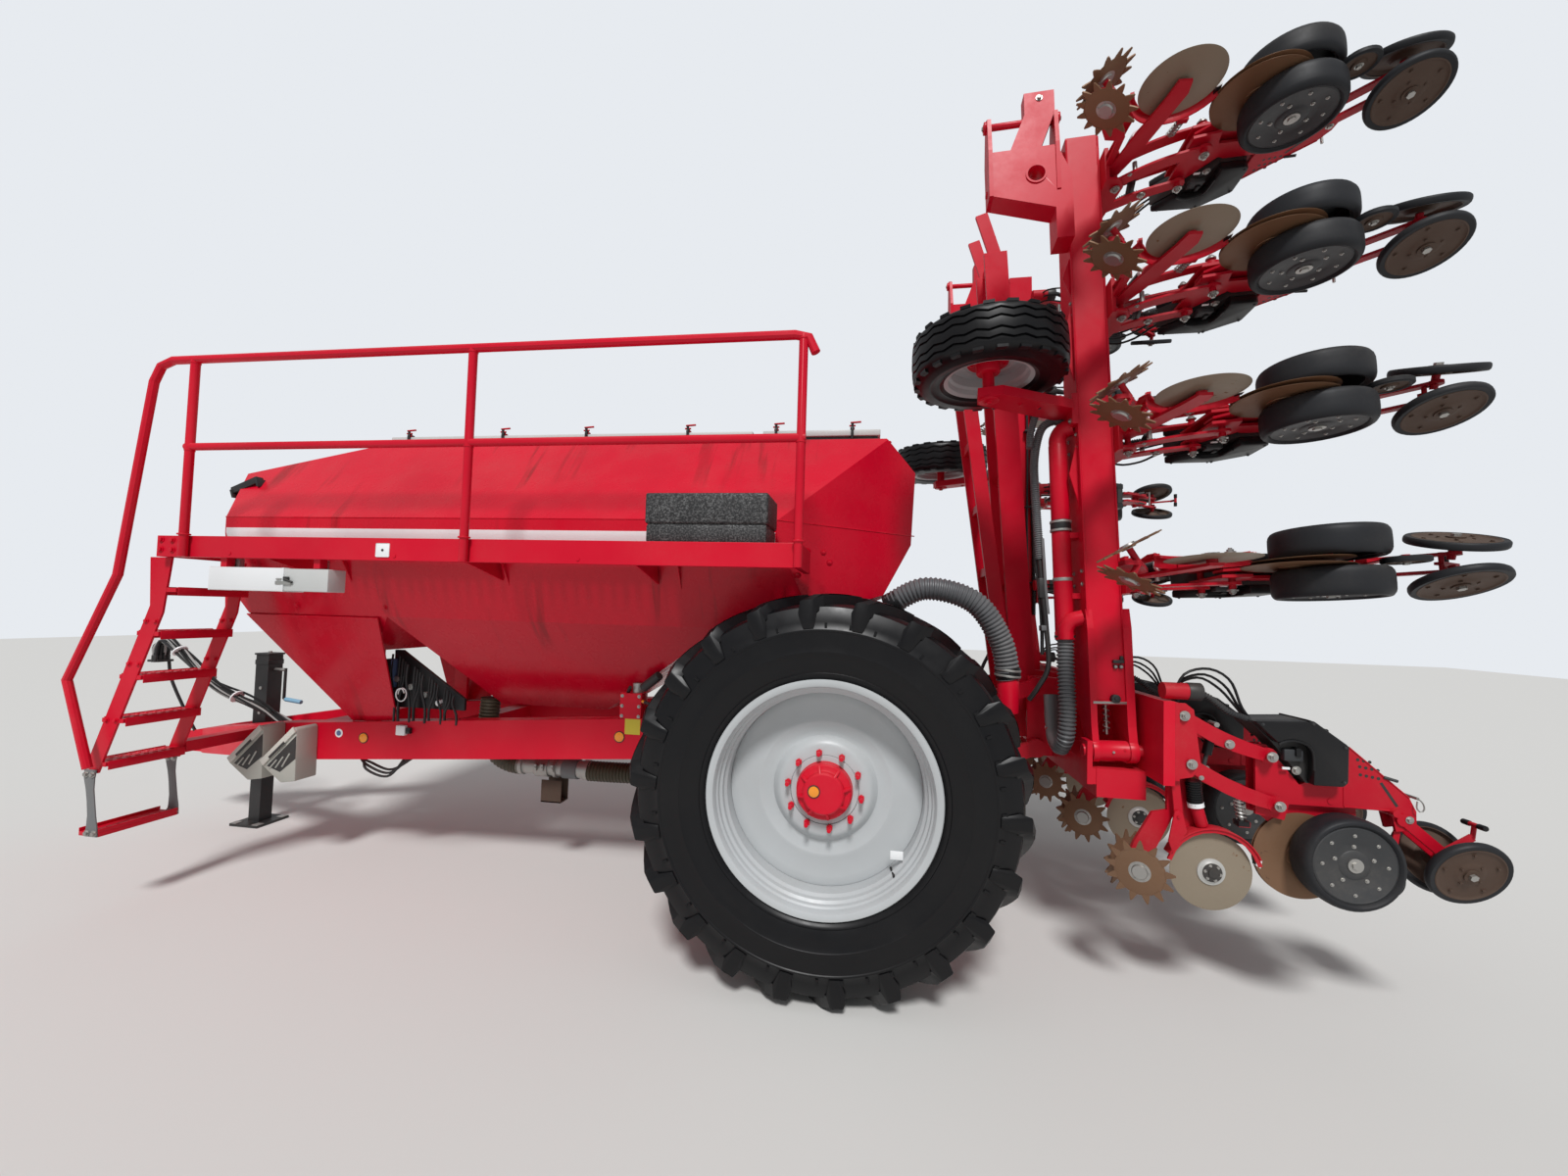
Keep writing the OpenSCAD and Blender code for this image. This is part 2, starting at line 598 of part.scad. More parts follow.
// Lock arm near the tip: a box on the beam, an arm that leans forward and a fork that holds the bumper
fork_x = [-915, -1270];
fork_pin = [3480, -40];
module wing_lock(side) color(red) wing(side) {
    block([wing_front_x + 0.6, 2740, -85], [-1250, 2930, 60]);
    difference() {
        z_plate([[wing_front_x + 0.3, 3110], [wing_front_x + 0.3, 2920], [-1250, 2920], [fork_x[0] + 4, 3030],
            [fork_x[0] - 2, 3290], [fork_x[1] + 5, 3290]], -84, 45);
        translate([-1154, 3130, -100]) cylinder(h = 200, r = 45);
    }
    for (x = fork_x)
        x_plate([[3025, -90], [3300, -95], [3500, -80], [3525, -40], [3500, 0], [3300, 50], [3025, 40]],
            x - 10, x + 12);
    translate([fork_x[1] - 30, fork_pin[0], fork_pin[1]]) rotate([0, 90, 0])
        cylinder(h = fork_x[0] - fork_x[1] + 60, r = 18);
    z_plate([[-1010, 3260], [-1175, 3260], [-1265, 3500], [-1265, 3630], [-1105, 3630], [-1105, 3500]],
        -75, -2);
}
module wing_lock_left() wing_lock(1);
module wing_lock_right() wing_lock(-1);

support_x = -850;
support_y = 2010;
support_v = -208;
support_w = 250;
module support_arm(side) color(red) wing(side) {
    block([wing_front_x + 0.3, support_y - 290, -10], [wing_front_x + 30, support_y - 120, 200]);
    y = support_y - support_w / 2 - 60;
    // Arm beside the tyre
    y_plate([[wing_front_x + 25, 150], [wing_front_x + 25, -20], [support_x - 60, support_v - 60],
        [support_x + 60, support_v - 40], [support_x + 50, support_v + 60], [wing_front_x + 80, 150]],
        y - 25, 50);
    y_rod(support_x, support_v, 30, y, support_y + 40);
}
module support_arm_left() support_arm(1);
module support_arm_right() support_arm(-1);

support_r = support_d / 2;
support_seat_r = 215;
support_n = 26;
block_h = 8;
module support_place(side)
    wing(side) translate([support_x, support_y, support_v]) rotate([-90, 0, 0]) children();
module support_wheel(side) color(pale) support_place(side) rotate_extrude($fn = 64)
    polygon([[30 + run_gap, -70], [60, -70], [60, -10], [190, -10], [200, -90], [support_seat_r, -95],
        [support_seat_r, 95], [200, 90], [190, 10], [60, 10], [60, 60], [30 + run_gap, 60]]);
module support_wheel_left() support_wheel(1);
module support_wheel_right() support_wheel(-1);
module support_tyre(side) color(dark) support_place(side) {
    rotate_extrude($fn = support_n) polygon(both_sides([[(support_seat_r + 0.2) / cos(180 / support_n), 95],
        [240, 112], [355, 118], [support_r - block_h, 95]]));
    for (up = [0, 1]) mirror([0, 0, up]) for (k = [0:support_n / 2 - 1]) let (a = (2 * k + up) * 360 / support_n)
        lug([a, 45, support_r - 0.5], [a, 108, support_r - 8], 110, 30);
}
module support_tyre_left() support_tyre(1);
module support_tyre_right() support_tyre(-1);

pipe_x = -1262;
pipe_z = 110;
module seed_pipe(side) color(red) wing(side) {
    rod([pipe_x, 590, pipe_z], [pipe_x, 1190, pipe_z], 48);
    for (y = [780, 1110]) block([wing_front_x + 0.3, y, pipe_z - 40], [pipe_x - 35, y + 30, pipe_z + 40]);
}
module seed_pipe_left() seed_pipe(1);
module seed_pipe_right() seed_pipe(-1);

wing_hose_route = [[-1262, 575, 110], [-1257, 420, 100], [-1250, 200, 70], [-1240, 60, 80], [-1230, -10, 140],
    [-1220, 20, 230], [-1230, 110, 290]];
module wing_hose(side) color(dark) wing(side) sweep(curve(wing_hose_route, 3), 45, 10, [1, 0, 0]);
module wing_hose_left() wing_hose(1);
module wing_hose_right() wing_hose(-1);

// Row units: drawn at y = 0 in the place of a row of the centre toolbar

wing_step_x = wing_rear_x - row_face_x;
center_rows = [-1.5, -0.5, 0.5, 1.5] * row_pitch;
wing_rows = [for (i = [0:3]) 2.5 * row_pitch - hinge_y + i * row_pitch];
module rows(group) {
    if (group == 0) from_axle() for (y = center_rows) translate([0, y, 0]) children();
    else wing(group) for (y = wing_rows) translate([wing_step_x, y, -hinge_z]) children();
}

// Pins of the parallel arms: upper front, upper rear, lower front, lower rear
pin_a = [-1661, 1421];
pin_b = [-2028, 1255];
pin_c = [-1693, 1200];
pin_d = [-2059, 1035];
gauge_x = -2325;
gauge_z = 815;
gauge_in = 25;
gauge_y = gauge_in + gauge_w / 2;
gauge_pivot = [-2365, 940];
hollow_r = 166;
opener_x = -2190;
opener_z = 797;
opener_y = 12.5;
opener_t = 4;
opener_toe = 1.5;
fert_x = -1811;
fert_z = 692;
fert_y = 15;
star_x = -1478;
star_z = 685;
star_y = 75;
star_toe = 28;
teeth = 13;
closing_z = 806;
closing_y = 88;
closing_lean = 20;
catch_x = -2540;
catch_z = 715;
meter_z = 1140;

// Outline of a curved arm between two pins
function arm_edge(p, q, out, sag) = let (d = unit(q - p), n = [-d[1], d[0]])
    [for (i = [0:8]) p + (q - p) * i / 8 + n * (out + sag * sin(i * 22.5))];
function reversed(p) = [for (i = [len(p) - 1:-1:0]) p[i]];
module curved_arm(p, q, y0, t) {
    y_plate(concat(arm_edge(p, q, -29, 16), reversed(arm_edge(p, q, 29, 26))), y0, t);
    for (e = [p, q]) y_rod(e[0], e[1], 36, y0 - 1, y0 + t + 1);
}

// Places of the two star wheels, toed in to the front; their inner side is up
module star_places() for (s = [0, 1]) mirror([0, s, 0])
    translate([star_x, star_y, star_z]) rotate([90, 0, -star_toe]) children();

// Places of the two closing wheels, which lean together at the floor; their inner side is up
module closing_places() for (s = [0, 1]) mirror([0, s, 0])
    translate([closing_x, closing_y, closing_z]) rotate([90 - closing_lean, 0, 0]) children();

body_outline = [[-1990, 1300], [-2035, 1300], [-2172, 1125], [-2200, meter_z - 0.3], [-2346, meter_z - 0.3],
    [-2348, 1300], [-2375, 1309], [-2613, 1098], [-2640, 1040], [-2640, 960], [-2560, 945], [-2540, 1034],
    [-2130, 1034], [-2110, 960], [-1990, 980]];
shank_outline = [[-2000, 990], [-2000, 1080], [-2420, 1080], [-2425, 915], [-2340, 895], [-2240, 760],
    [-2150, 750], [-2110, 900]];
fert_arm = [[row_face_x - 10, 1125], [row_face_x - 10, 1200], [-1700, 1200], [-1760, 1050], [-1850, 720],
    [-1840, 655], [-1780, 650], [-1760, 740], [-1690, 960], [-1650, 1125]];
star_arm = [[row_face_x - 5, 1150], [row_face_x - 35, 1150], [row_face_x - 35, 940], [-1540, 700],
    [-1500, 650], [-1450, 650], [-1440, 700], [-1480, 800], [-1560, 945], [row_face_x - 5, 960]];

module unit_frame() {
    // Head: mount plate and its cheeks
    block([row_face_x - 20, -head_half, 1120], [row_face_x - 0.3, head_half, 1480]);
    for (y = [-84, 72])
        y_plate([[row_face_x - 15, 1125], [-1700, 1140], [-1735, 1200], [-1705, 1450], [-1670, 1478],
            [row_face_x - 15, 1478]], y, 12);
    for (y = [-66, 54]) {
        curved_arm(pin_a, pin_b, y, 12);
        curved_arm(pin_c, pin_d, y, 12);
    }
    for (p = [pin_a, pin_b, pin_c, pin_d]) y_rod(p[0], p[1], 15, -90, 90);
    // Body with its tail, and the shank between the opener discs
    for (y = [-36, 22]) y_plate(body_outline, y, 14);
    y_plate(shank_outline, -6, 12);
    y_rod(-2300, 1060, 14, -39, 39);
    y_rod(opener_x, opener_z, 16, opener_t / 2 + 0.7 - opener_y, opener_y - opener_t / 2 - 0.7);
    // Gauge wheel arms, their pivot and stub axles
    y_rod(gauge_pivot[0], gauge_pivot[1], 15, -34, 34);
    for (s = [0, 1]) mirror([0, s, 0]) {
        eye_bar(gauge_pivot, [gauge_x, gauge_z], 40, 21, 10);
        y_rod(gauge_x, gauge_z, 18, 22, gauge_y + gauge_w * 0.4);
    }
    // Arms of the closing wheels, the lever with its handle and the catch wheel's arm
    for (y = [-44, 30]) eye_bar([-2585, 1000], [closing_x, closing_z + 15], 45, y, 14);
    y_rod(-2585, 1000, 12, -40, 40);
    closing_places() translate([0, 0, 18.3]) cylinder(h = 60, r = 14);
    y_rod(-2765, 845, 9, -47, 47);
    flat_bar([-2755, 845], [-2885, 935], 30, -6, 12);
    rod([-2885, 0, 930], [-2893, 0, 990], 9);
    y_rod(-2893, 990, 10, -45, 45);
    flat_bar([-2585, 1000], [catch_x, catch_z], 26, 15, 6);
    y_rod(catch_x, catch_z, 14, 13.3, 22);
    // Fertiliser arm with the guard over its disc
    y_plate(fert_arm, -20, 14);
    y_rod(fert_x, fert_z, 22, -19, fert_y - 3.3);
    y_plate(concat([for (a = [15:15:165]) [fert_x, fert_z] + (fert_d / 2 + 30) * [cos(a), sin(a)]],
        [for (a = [165:-15:15]) [fert_x, fert_z] + (fert_d / 2 + 12) * [cos(a), sin(a)]]), 40, 10);
    block([fert_x + 20, -12, fert_z + fert_d / 2 + 12], [fert_x + 50, 45, fert_z + fert_d / 2 + 28]);
    flat_bar([-1640, 1150], [-1668, 835], 36, 41, 8);
    // Row cleaner's arm
    y_plate(star_arm, -10, 20);
    star_places() translate([0, 0, 3.3]) cylinder(h = 78, r = 14);
}
module unit_frames_center() color(red) rows(0) unit_frame();
module unit_frames_left() color(red) rows(1) unit_frame();
module unit_frames_right() color(red) rows(-1) unit_frame();

module unit_disc_set() {
    for (s = [0, 1]) mirror([0, s, 0]) {
        translate([opener_x, opener_y, opener_z]) rotate([90, 0, -opener_toe])
            cylinder(h = opener_t, r = opener_d / 2, center = true);
        y_rod(opener_x, opener_z, 30, opener_y, opener_y + 11);
    }
    y_rod(fert_x, fert_z, fert_d / 2, fert_y - 3, fert_y + 3);
    y_rod(fert_x, fert_z, 48, fert_y, fert_y + 19);
    star_places() linear_extrude(6, center = true)
        polygon([for (k = [0:2 * teeth - 1]) let (tip = k % 2, a = (k + tip * 0.5) * 180 / teeth)
            (star_d / 2 - (1 - tip) * 36) * [cos(a), sin(a)]]);
}
module unit_discs_center() color(rust) rows(0) unit_disc_set();
module unit_discs_left() color(rust) rows(1) unit_disc_set();
module unit_discs_right() color(rust) rows(-1) unit_disc_set();

// Gauge wheels, open on the inner side where their arm lies
gauge_outline = [[18 + run_gap, 0], [46, 0], [46, gauge_w * 0.28], [hollow_r, gauge_w * 0.28],
    [hollow_r, -gauge_w * 0.42], [hollow_r + 8, -gauge_w / 2], [gauge_d / 2 - 12, -gauge_w * 0.46],
    [gauge_d / 2, -gauge_w * 0.3], [gauge_d / 2, gauge_w * 0.3], [gauge_d / 2 - 12, gauge_w * 0.46],
    [hollow_r + 8, gauge_w / 2], [hollow_r - 8, gauge_w * 0.42], [60, gauge_w * 0.36],
    [18 + run_gap, gauge_w * 0.36]];
module gauge_pair() for (s = [-1, 1])
    translate([gauge_x, s * gauge_y, gauge_z]) rotate([-90 * s, 0, 0])
        rotate_extrude() polygon(gauge_outline);
module gauge_wheels_center() color(dark) rows(0) gauge_pair();
module gauge_wheels_left() color(dark) rows(1) gauge_pair();
module gauge_wheels_right() color(dark) rows(-1) gauge_pair();

// Closing wheels, and the small catch wheel ahead of them
closing_r = closing_d / 2;
closing_outline = [[0, 18], [45, 18], [60, -2], [closing_r - 28, -2], [closing_r - 24, 14],
    [closing_r - 6, 16], [closing_r, 6], [closing_r, -6], [closing_r - 6, -16], [closing_r - 24, -14],
    [60, -10], [45, -16], [0, -16]];
module closing_pair() {
    closing_places() rotate_extrude() polygon(closing_outline);
    y_rod(catch_x, catch_z, 80, -13, 13);
}
module closing_wheels_center() color(rust) rows(0) closing_pair();
module closing_wheels_left() color(rust) rows(1) closing_pair();
module closing_wheels_right() color(rust) rows(-1) closing_pair();

module meter_housing() y_plate([[-1953, 1414], [-2196, 1428], [-2336, 1323], [-2331, meter_z],
    [-2187, meter_z], [-2049, 1314]], -100, 200);
module meter_housings_center() color(dark) rows(0) meter_housing();
module meter_housings_left() color(dark) rows(1) meter_housing();
module meter_housings_right() color(dark) rows(-1) meter_housing();

main_frame();
drawbar();
axle();
jack_housing();
jack_leg();
hopper();
lid_front();
lid_rear();
funnel_plate_left();
funnel_plate_right();
platform();
railing();
ladder();
bottom_step();
document_box();
tool_box();
wheel_chocks();
under_hose();
main_hose();
tyre_left();
tyre_right();
rim_left();
rim_right();
hub_left();
hub_right();
lower_links();
top_links();
toolbar();
lock_mast();
wing_beam_left();
wing_beam_right();
wing_lock_left();
wing_lock_right();
support_arm_left();
support_arm_right();
support_wheel_left();
support_wheel_right();
support_tyre_left();
support_tyre_right();
seed_pipe_left();
seed_pipe_right();
wing_hose_left();
wing_hose_right();
unit_frames_center();
unit_frames_left();
unit_frames_right();
unit_discs_center();
unit_discs_left();
unit_discs_right();
gauge_wheels_center();
gauge_wheels_left();
gauge_wheels_right();
closing_wheels_center();
closing_wheels_left();
closing_wheels_right();
meter_housings_center();
meter_housings_left();
meter_housings_right();
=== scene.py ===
import bpy
import bmesh
import json
import math
from mathutils import Matrix, Vector


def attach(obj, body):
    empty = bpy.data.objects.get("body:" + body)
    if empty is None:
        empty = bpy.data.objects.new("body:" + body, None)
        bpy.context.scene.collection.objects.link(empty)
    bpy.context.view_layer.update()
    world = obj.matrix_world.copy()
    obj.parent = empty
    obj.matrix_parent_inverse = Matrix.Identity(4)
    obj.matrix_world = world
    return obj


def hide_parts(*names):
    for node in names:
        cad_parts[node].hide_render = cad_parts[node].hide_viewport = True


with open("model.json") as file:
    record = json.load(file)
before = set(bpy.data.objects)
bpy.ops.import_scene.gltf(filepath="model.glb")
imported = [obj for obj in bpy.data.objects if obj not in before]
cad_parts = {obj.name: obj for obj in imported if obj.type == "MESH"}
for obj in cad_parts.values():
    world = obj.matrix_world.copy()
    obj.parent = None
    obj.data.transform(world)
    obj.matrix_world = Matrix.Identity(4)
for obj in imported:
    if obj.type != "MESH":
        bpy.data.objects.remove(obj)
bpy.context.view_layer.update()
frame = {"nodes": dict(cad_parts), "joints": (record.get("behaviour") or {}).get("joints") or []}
joints = {joint["name"]: joint for joint in frame["joints"]}
axle = Vector(joints["wheel_left_spin"]["pos_m"])
print("frame loaded:", len(frame["nodes"]), "nodes")

# Camera and studio

viewpoint = {"place": (-1.5123, 4.2196, 1.8530), "yaw": -0.1494, "pitch": 0.0394, "roll": 0.0293, "lens": 13.5,
             "sensor": 36, "reach": 200}
studio = {"floorSize": 60.0, "floorColor": (0.66, 0.65, 0.63, 1), "floorRoughness": 0.9,
          "sky": (0.80, 0.83, 0.87, 1), "light": (0.94, 0.97, 1.0, 1), "fill": 0.40, "sunPower": 2.6,
          "sunSoftness": 0.20, "sunTurn": (math.radians(38), math.radians(12), math.radians(168))}


def addCamera(settings):
    yaw, pitch, roll = settings["yaw"], settings["pitch"], settings["roll"]
    level = Vector((-math.sin(yaw), -math.cos(yaw), 0))
    side = Vector((-math.cos(yaw), math.sin(yaw), 0))
    ahead = level * math.cos(pitch) + Vector((0, 0, math.sin(pitch)))
    over = Vector((0, 0, math.cos(pitch))) - level * math.sin(pitch)
    right = side * math.cos(roll) + over * math.sin(roll)
    up = over * math.cos(roll) - side * math.sin(roll)
    camera = bpy.data.objects.new("camera", bpy.data.cameras.new("camera"))
    camera.data.sensor_width = settings["sensor"]
    camera.data.lens = settings["lens"]
    camera.data.clip_end = settings["reach"]
    turn = Matrix((right, up, -ahead)).transposed().to_4x4()
    camera.matrix_world = Matrix.Translation(settings["place"]) @ turn
    bpy.context.scene.collection.objects.link(camera)
    bpy.context.scene.camera = camera


def addStudio(settings):
    sun = bpy.data.objects.new("softSun", bpy.data.lights.new("softSun", "SUN"))
    sun.data.energy = settings["sunPower"]
    sun.data.angle = settings["sunSoftness"]
    sun.rotation_euler = settings["sunTurn"]
    bpy.context.scene.collection.objects.link(sun)
    world = bpy.data.worlds.new("studio")
    world.use_nodes = True
    bpy.context.scene.world = world
    nodes, links = world.node_tree.nodes, world.node_tree.links
    nodes.clear()
    output = nodes.new("ShaderNodeOutputWorld")
    rays = nodes.new("ShaderNodeLightPath")
    seen = nodes.new("ShaderNodeMath")
    seen.operation = "MAXIMUM"
    choose = nodes.new("ShaderNodeMixShader")
    light = nodes.new("ShaderNodeBackground")
    light.inputs["Color"].default_value = settings["light"]
    light.inputs["Strength"].default_value = settings["fill"]
    backdrop = nodes.new("ShaderNodeBackground")
    backdrop.inputs["Color"].default_value = settings["sky"]
    links.new(rays.outputs["Is Camera Ray"], seen.inputs[0])
    links.new(rays.outputs["Is Transmission Ray"], seen.inputs[1])
    links.new(seen.outputs[0], choose.inputs["Fac"])
    links.new(light.outputs[0], choose.inputs[1])
    links.new(backdrop.outputs[0], choose.inputs[2])
    links.new(choose.outputs[0], output.inputs["Surface"])
    ground = bmesh.new()
    bmesh.ops.create_grid(ground, x_segments=1, y_segments=1, size=settings["floorSize"] / 2)
    data = bpy.data.meshes.new("floor")
    ground.to_mesh(data)
    ground.free()
    floor = bpy.data.objects.new("floor", data)
    bpy.context.scene.collection.objects.link(floor)
    finish = bpy.data.materials.new("floorFinish")
    finish.use_nodes = True
    shader = finish.node_tree.nodes["Principled BSDF"]
    shader.inputs["Base Color"].default_value = settings["floorColor"]
    shader.inputs["Roughness"].default_value = settings["floorRoughness"]
    data.materials.append(finish)
    bpy.context.scene.view_settings.view_transform = "Standard"


addCamera(viewpoint)
addStudio(studio)
print("camera and studio set")

# Finishes


def newGroup(name, inputs, outputs):
    # inputs and outputs: name, socket type, value
    group = bpy.data.node_groups.new(name, "ShaderNodeTree")
    for label, kind, value in inputs:
        socket = group.interface.new_socket(label, in_out="INPUT", socket_type=kind)
        socket.default_value = value
    for label, kind in outputs:
        group.interface.new_socket(label, in_out="OUTPUT", socket_type=kind)
    return group, group.nodes.new("NodeGroupInput"), group.nodes.new("NodeGroupOutput")


def addNoise(tree, coords, scale, detail=4.0, roughness=0.55, stretch=None):
    noise = tree.nodes.new("ShaderNodeTexNoise")
    for label, setting in (("Scale", scale), ("Detail", detail), ("Roughness", roughness)):
        noise.inputs[label].default_value = setting
    if stretch:
        mapping = tree.nodes.new("ShaderNodeMapping")
        mapping.inputs["Scale"].default_value = stretch
        tree.links.new(coords, mapping.inputs["Vector"])
        coords = mapping.outputs[0]
    tree.links.new(coords, noise.inputs["Vector"])
    return noise.outputs["Fac"]


def addRange(tree, value, low, high, toLow=0.0, toHigh=1.0):
    ramp = tree.nodes.new("ShaderNodeMapRange")
    ramp.clamp = True
    tree.links.new(value, ramp.inputs["Value"])
    for label, setting in (("From Min", low), ("From Max", high), ("To Min", toLow), ("To Max", toHigh)):
        ramp.inputs[label].default_value = setting
    return ramp.outputs[0]


def addMath(tree, operation, first, second=0.0, clamp=False):
    node = tree.nodes.new("ShaderNodeMath")
    node.operation = operation
    node.use_clamp = clamp
    for slot, value in enumerate((first, second)):
        if isinstance(value, (int, float)):
            node.inputs[slot].default_value = value
        else:
            tree.links.new(value, node.inputs[slot])
    return node.outputs[0]


def addMix(tree, mask, first, second):
    mix = tree.nodes.new("ShaderNodeMix")
    mix.data_type = "RGBA"
    tree.links.new(mask, mix.inputs[0])
    for slot, value in ((6, first), (7, second)):
        if isinstance(value, tuple):
            mix.inputs[slot].default_value = value
        else:
            tree.links.new(value, mix.inputs[slot])
    return mix.outputs[2]


def makeWeathering():
    # Dust that lies on upper faces and in patches, small chips, and slow changes of the paint's shade
    tree, given, made = newGroup("weathering", (
        ("Color", "NodeSocketColor", (0.5, 0.5, 0.5, 1)), ("Dust Color", "NodeSocketColor", (0.36, 0.31, 0.25, 1)),
        ("Chip Color", "NodeSocketColor", (0.10, 0.05, 0.035, 1)), ("Dust", "NodeSocketFloat", 0.3),
        ("Chips", "NodeSocketFloat", 0.2), ("Gloss", "NodeSocketFloat", 0.35)),
        (("Color", "NodeSocketColor"), ("Roughness", "NodeSocketFloat"), ("Height", "NodeSocketFloat")))
    coords = tree.nodes.new("ShaderNodeTexCoord").outputs["Object"]
    normal = tree.nodes.new("ShaderNodeNewGeometry").outputs["Normal"]
    split = tree.nodes.new("ShaderNodeSeparateXYZ")
    tree.links.new(normal, split.inputs[0])
    upward = addRange(tree, split.outputs["Z"], -0.5, 1.0)
    patches = addRange(tree, addNoise(tree, coords, 2.3, 8.0, 0.62), 0.42, 0.72)
    specks = addRange(tree, addNoise(tree, coords, 60.0, 3.0, 0.6), 0.45, 0.75, 0.5, 1.0)
    dust = addMath(tree, "MULTIPLY", addMath(tree, "MULTIPLY", patches, specks), upward)
    dust = addMath(tree, "MULTIPLY", dust, given.outputs["Dust"], clamp=True)
    shade = addRange(tree, addNoise(tree, coords, 0.9, 4.0), 0.3, 0.7, 0.88, 1.08)
    shaded = tree.nodes.new("ShaderNodeHueSaturation")
    tree.links.new(given.outputs["Color"], shaded.inputs["Color"])
    tree.links.new(shade, shaded.inputs["Value"])
    where = addNoise(tree, coords, 5.0, 5.0, 0.7)
    small = addNoise(tree, coords, 34.0, 5.0, 0.7)
    both = addMath(tree, "ADD", addMath(tree, "MULTIPLY", where, 0.45), addMath(tree, "MULTIPLY", small, 0.55))
    edge = addRange(tree, given.outputs["Chips"], 0.0, 1.0, 0.80, 0.50)
    chip = addMath(tree, "MULTIPLY", addMath(tree, "SUBTRACT", both, edge), 60.0, clamp=True)
    dusted = addMix(tree, dust, shaded.outputs[0], given.outputs["Dust Color"])
    tree.links.new(addMix(tree, chip, dusted, given.outputs["Chip Color"]), made.inputs["Color"])
    rough = addMath(tree, "ADD", given.outputs["Gloss"], addMath(tree, "MULTIPLY", dust, 0.4))
    smear = addRange(tree, addNoise(tree, coords, 7.0, 6.0, 0.7), 0.3, 0.7, -0.05, 0.10)
    rough = addMath(tree, "ADD", addMath(tree, "ADD", rough, smear), addMath(tree, "MULTIPLY", chip, 0.3), clamp=True)
    tree.links.new(rough, made.inputs["Roughness"])
    ripple = addNoise(tree, coords, 22.0, 2.0)
    height = addMath(tree, "SUBTRACT", addMath(tree, "MULTIPLY", ripple, 0.25), chip)
    tree.links.new(height, made.inputs["Height"])
    return tree


weathering = makeWeathering()
relief = {"depth": 0.0006, "strength": 0.5}
bareMetal = (0.10, 0.05, 0.035, 1)
dryDust = (0.30, 0.25, 0.20, 1)


def newMaterial(name, metallic=0.0, coat=0.0, roughness=0.5):
    material = bpy.data.materials.new(name)
    material.use_nodes = True
    shader = material.node_tree.nodes["Principled BSDF"]
    shader.inputs["Metallic"].default_value = metallic
    shader.inputs["Coat Weight"].default_value = coat
    shader.inputs["Roughness"].default_value = roughness
    return material, material.node_tree, shader


def addBump(tree, shader, height):
    bump = tree.nodes.new("ShaderNodeBump")
    bump.inputs["Strength"].default_value = relief["strength"]
    bump.inputs["Distance"].default_value = relief["depth"]
    tree.links.new(height, bump.inputs["Height"])
    tree.links.new(bump.outputs[0], shader.inputs["Normal"])


def weathered(name, color, dust, chips, gloss, metallic=0.0, coat=0.0, chipColor=bareMetal, dustColor=dryDust,
              specular=0.5):
    material, tree, shader = newMaterial(name, metallic, coat)
    shader.inputs["Specular IOR Level"].default_value = specular
    wear = tree.nodes.new("ShaderNodeGroup")
    wear.node_tree = weathering
    wear.inputs["Color"].default_value = (*color, 1)
    wear.inputs["Dust Color"].default_value = dustColor
    wear.inputs["Chip Color"].default_value = chipColor
    wear.inputs["Dust"].default_value = dust
    wear.inputs["Chips"].default_value = chips
    wear.inputs["Gloss"].default_value = gloss
    tree.links.new(wear.outputs["Color"], shader.inputs["Base Color"])
    tree.links.new(wear.outputs["Roughness"], shader.inputs["Roughness"])
    addBump(tree, shader, wear.outputs["Height"])
    return material


def streaked(name, color, shade, dust, gloss):
    # Paint on which rain has left darker runs, and the dust weathered puts on the rest
    material = weathered(name, color, dust, 0.05, gloss, coat=0.05, specular=0.3)
    tree = material.node_tree
    wear = next(node for node in tree.nodes if node.type == "GROUP")
    coords = tree.nodes.new("ShaderNodeTexCoord").outputs["Object"]
    runs = addRange(tree, addNoise(tree, coords, 1.0, 3.0, 0.6, (9.0, 0.9, 0.9)), 0.56, 0.66)
    patch = addRange(tree, addNoise(tree, coords, 1.1, 2.0), 0.45, 0.60)
    tree.links.new(addMix(tree, addMath(tree, "MULTIPLY", runs, patch), (*color, 1), (*shade, 1)), wear.inputs["Color"])
    return material


def speckledPlastic(name, dark, light, size):
    material, tree, shader = newMaterial(name, roughness=0.6)
    coords = tree.nodes.new("ShaderNodeTexCoord").outputs["Object"]
    grain = addNoise(tree, coords, size, 3.0, 0.75)
    cloud = addNoise(tree, coords, size / 12, 3.0)
    mask = addMath(tree, "MULTIPLY", addRange(tree, grain, 0.47, 0.62), addRange(tree, cloud, 0.35, 0.65, 0.45, 1.0))
    tree.links.new(addMix(tree, mask, (*dark, 1), (*light, 1)), shader.inputs["Base Color"])
    tree.links.new(addRange(tree, grain, 0.3, 0.7, 0.75, 0.45), shader.inputs["Roughness"])
    addBump(tree, shader, grain)
    return material


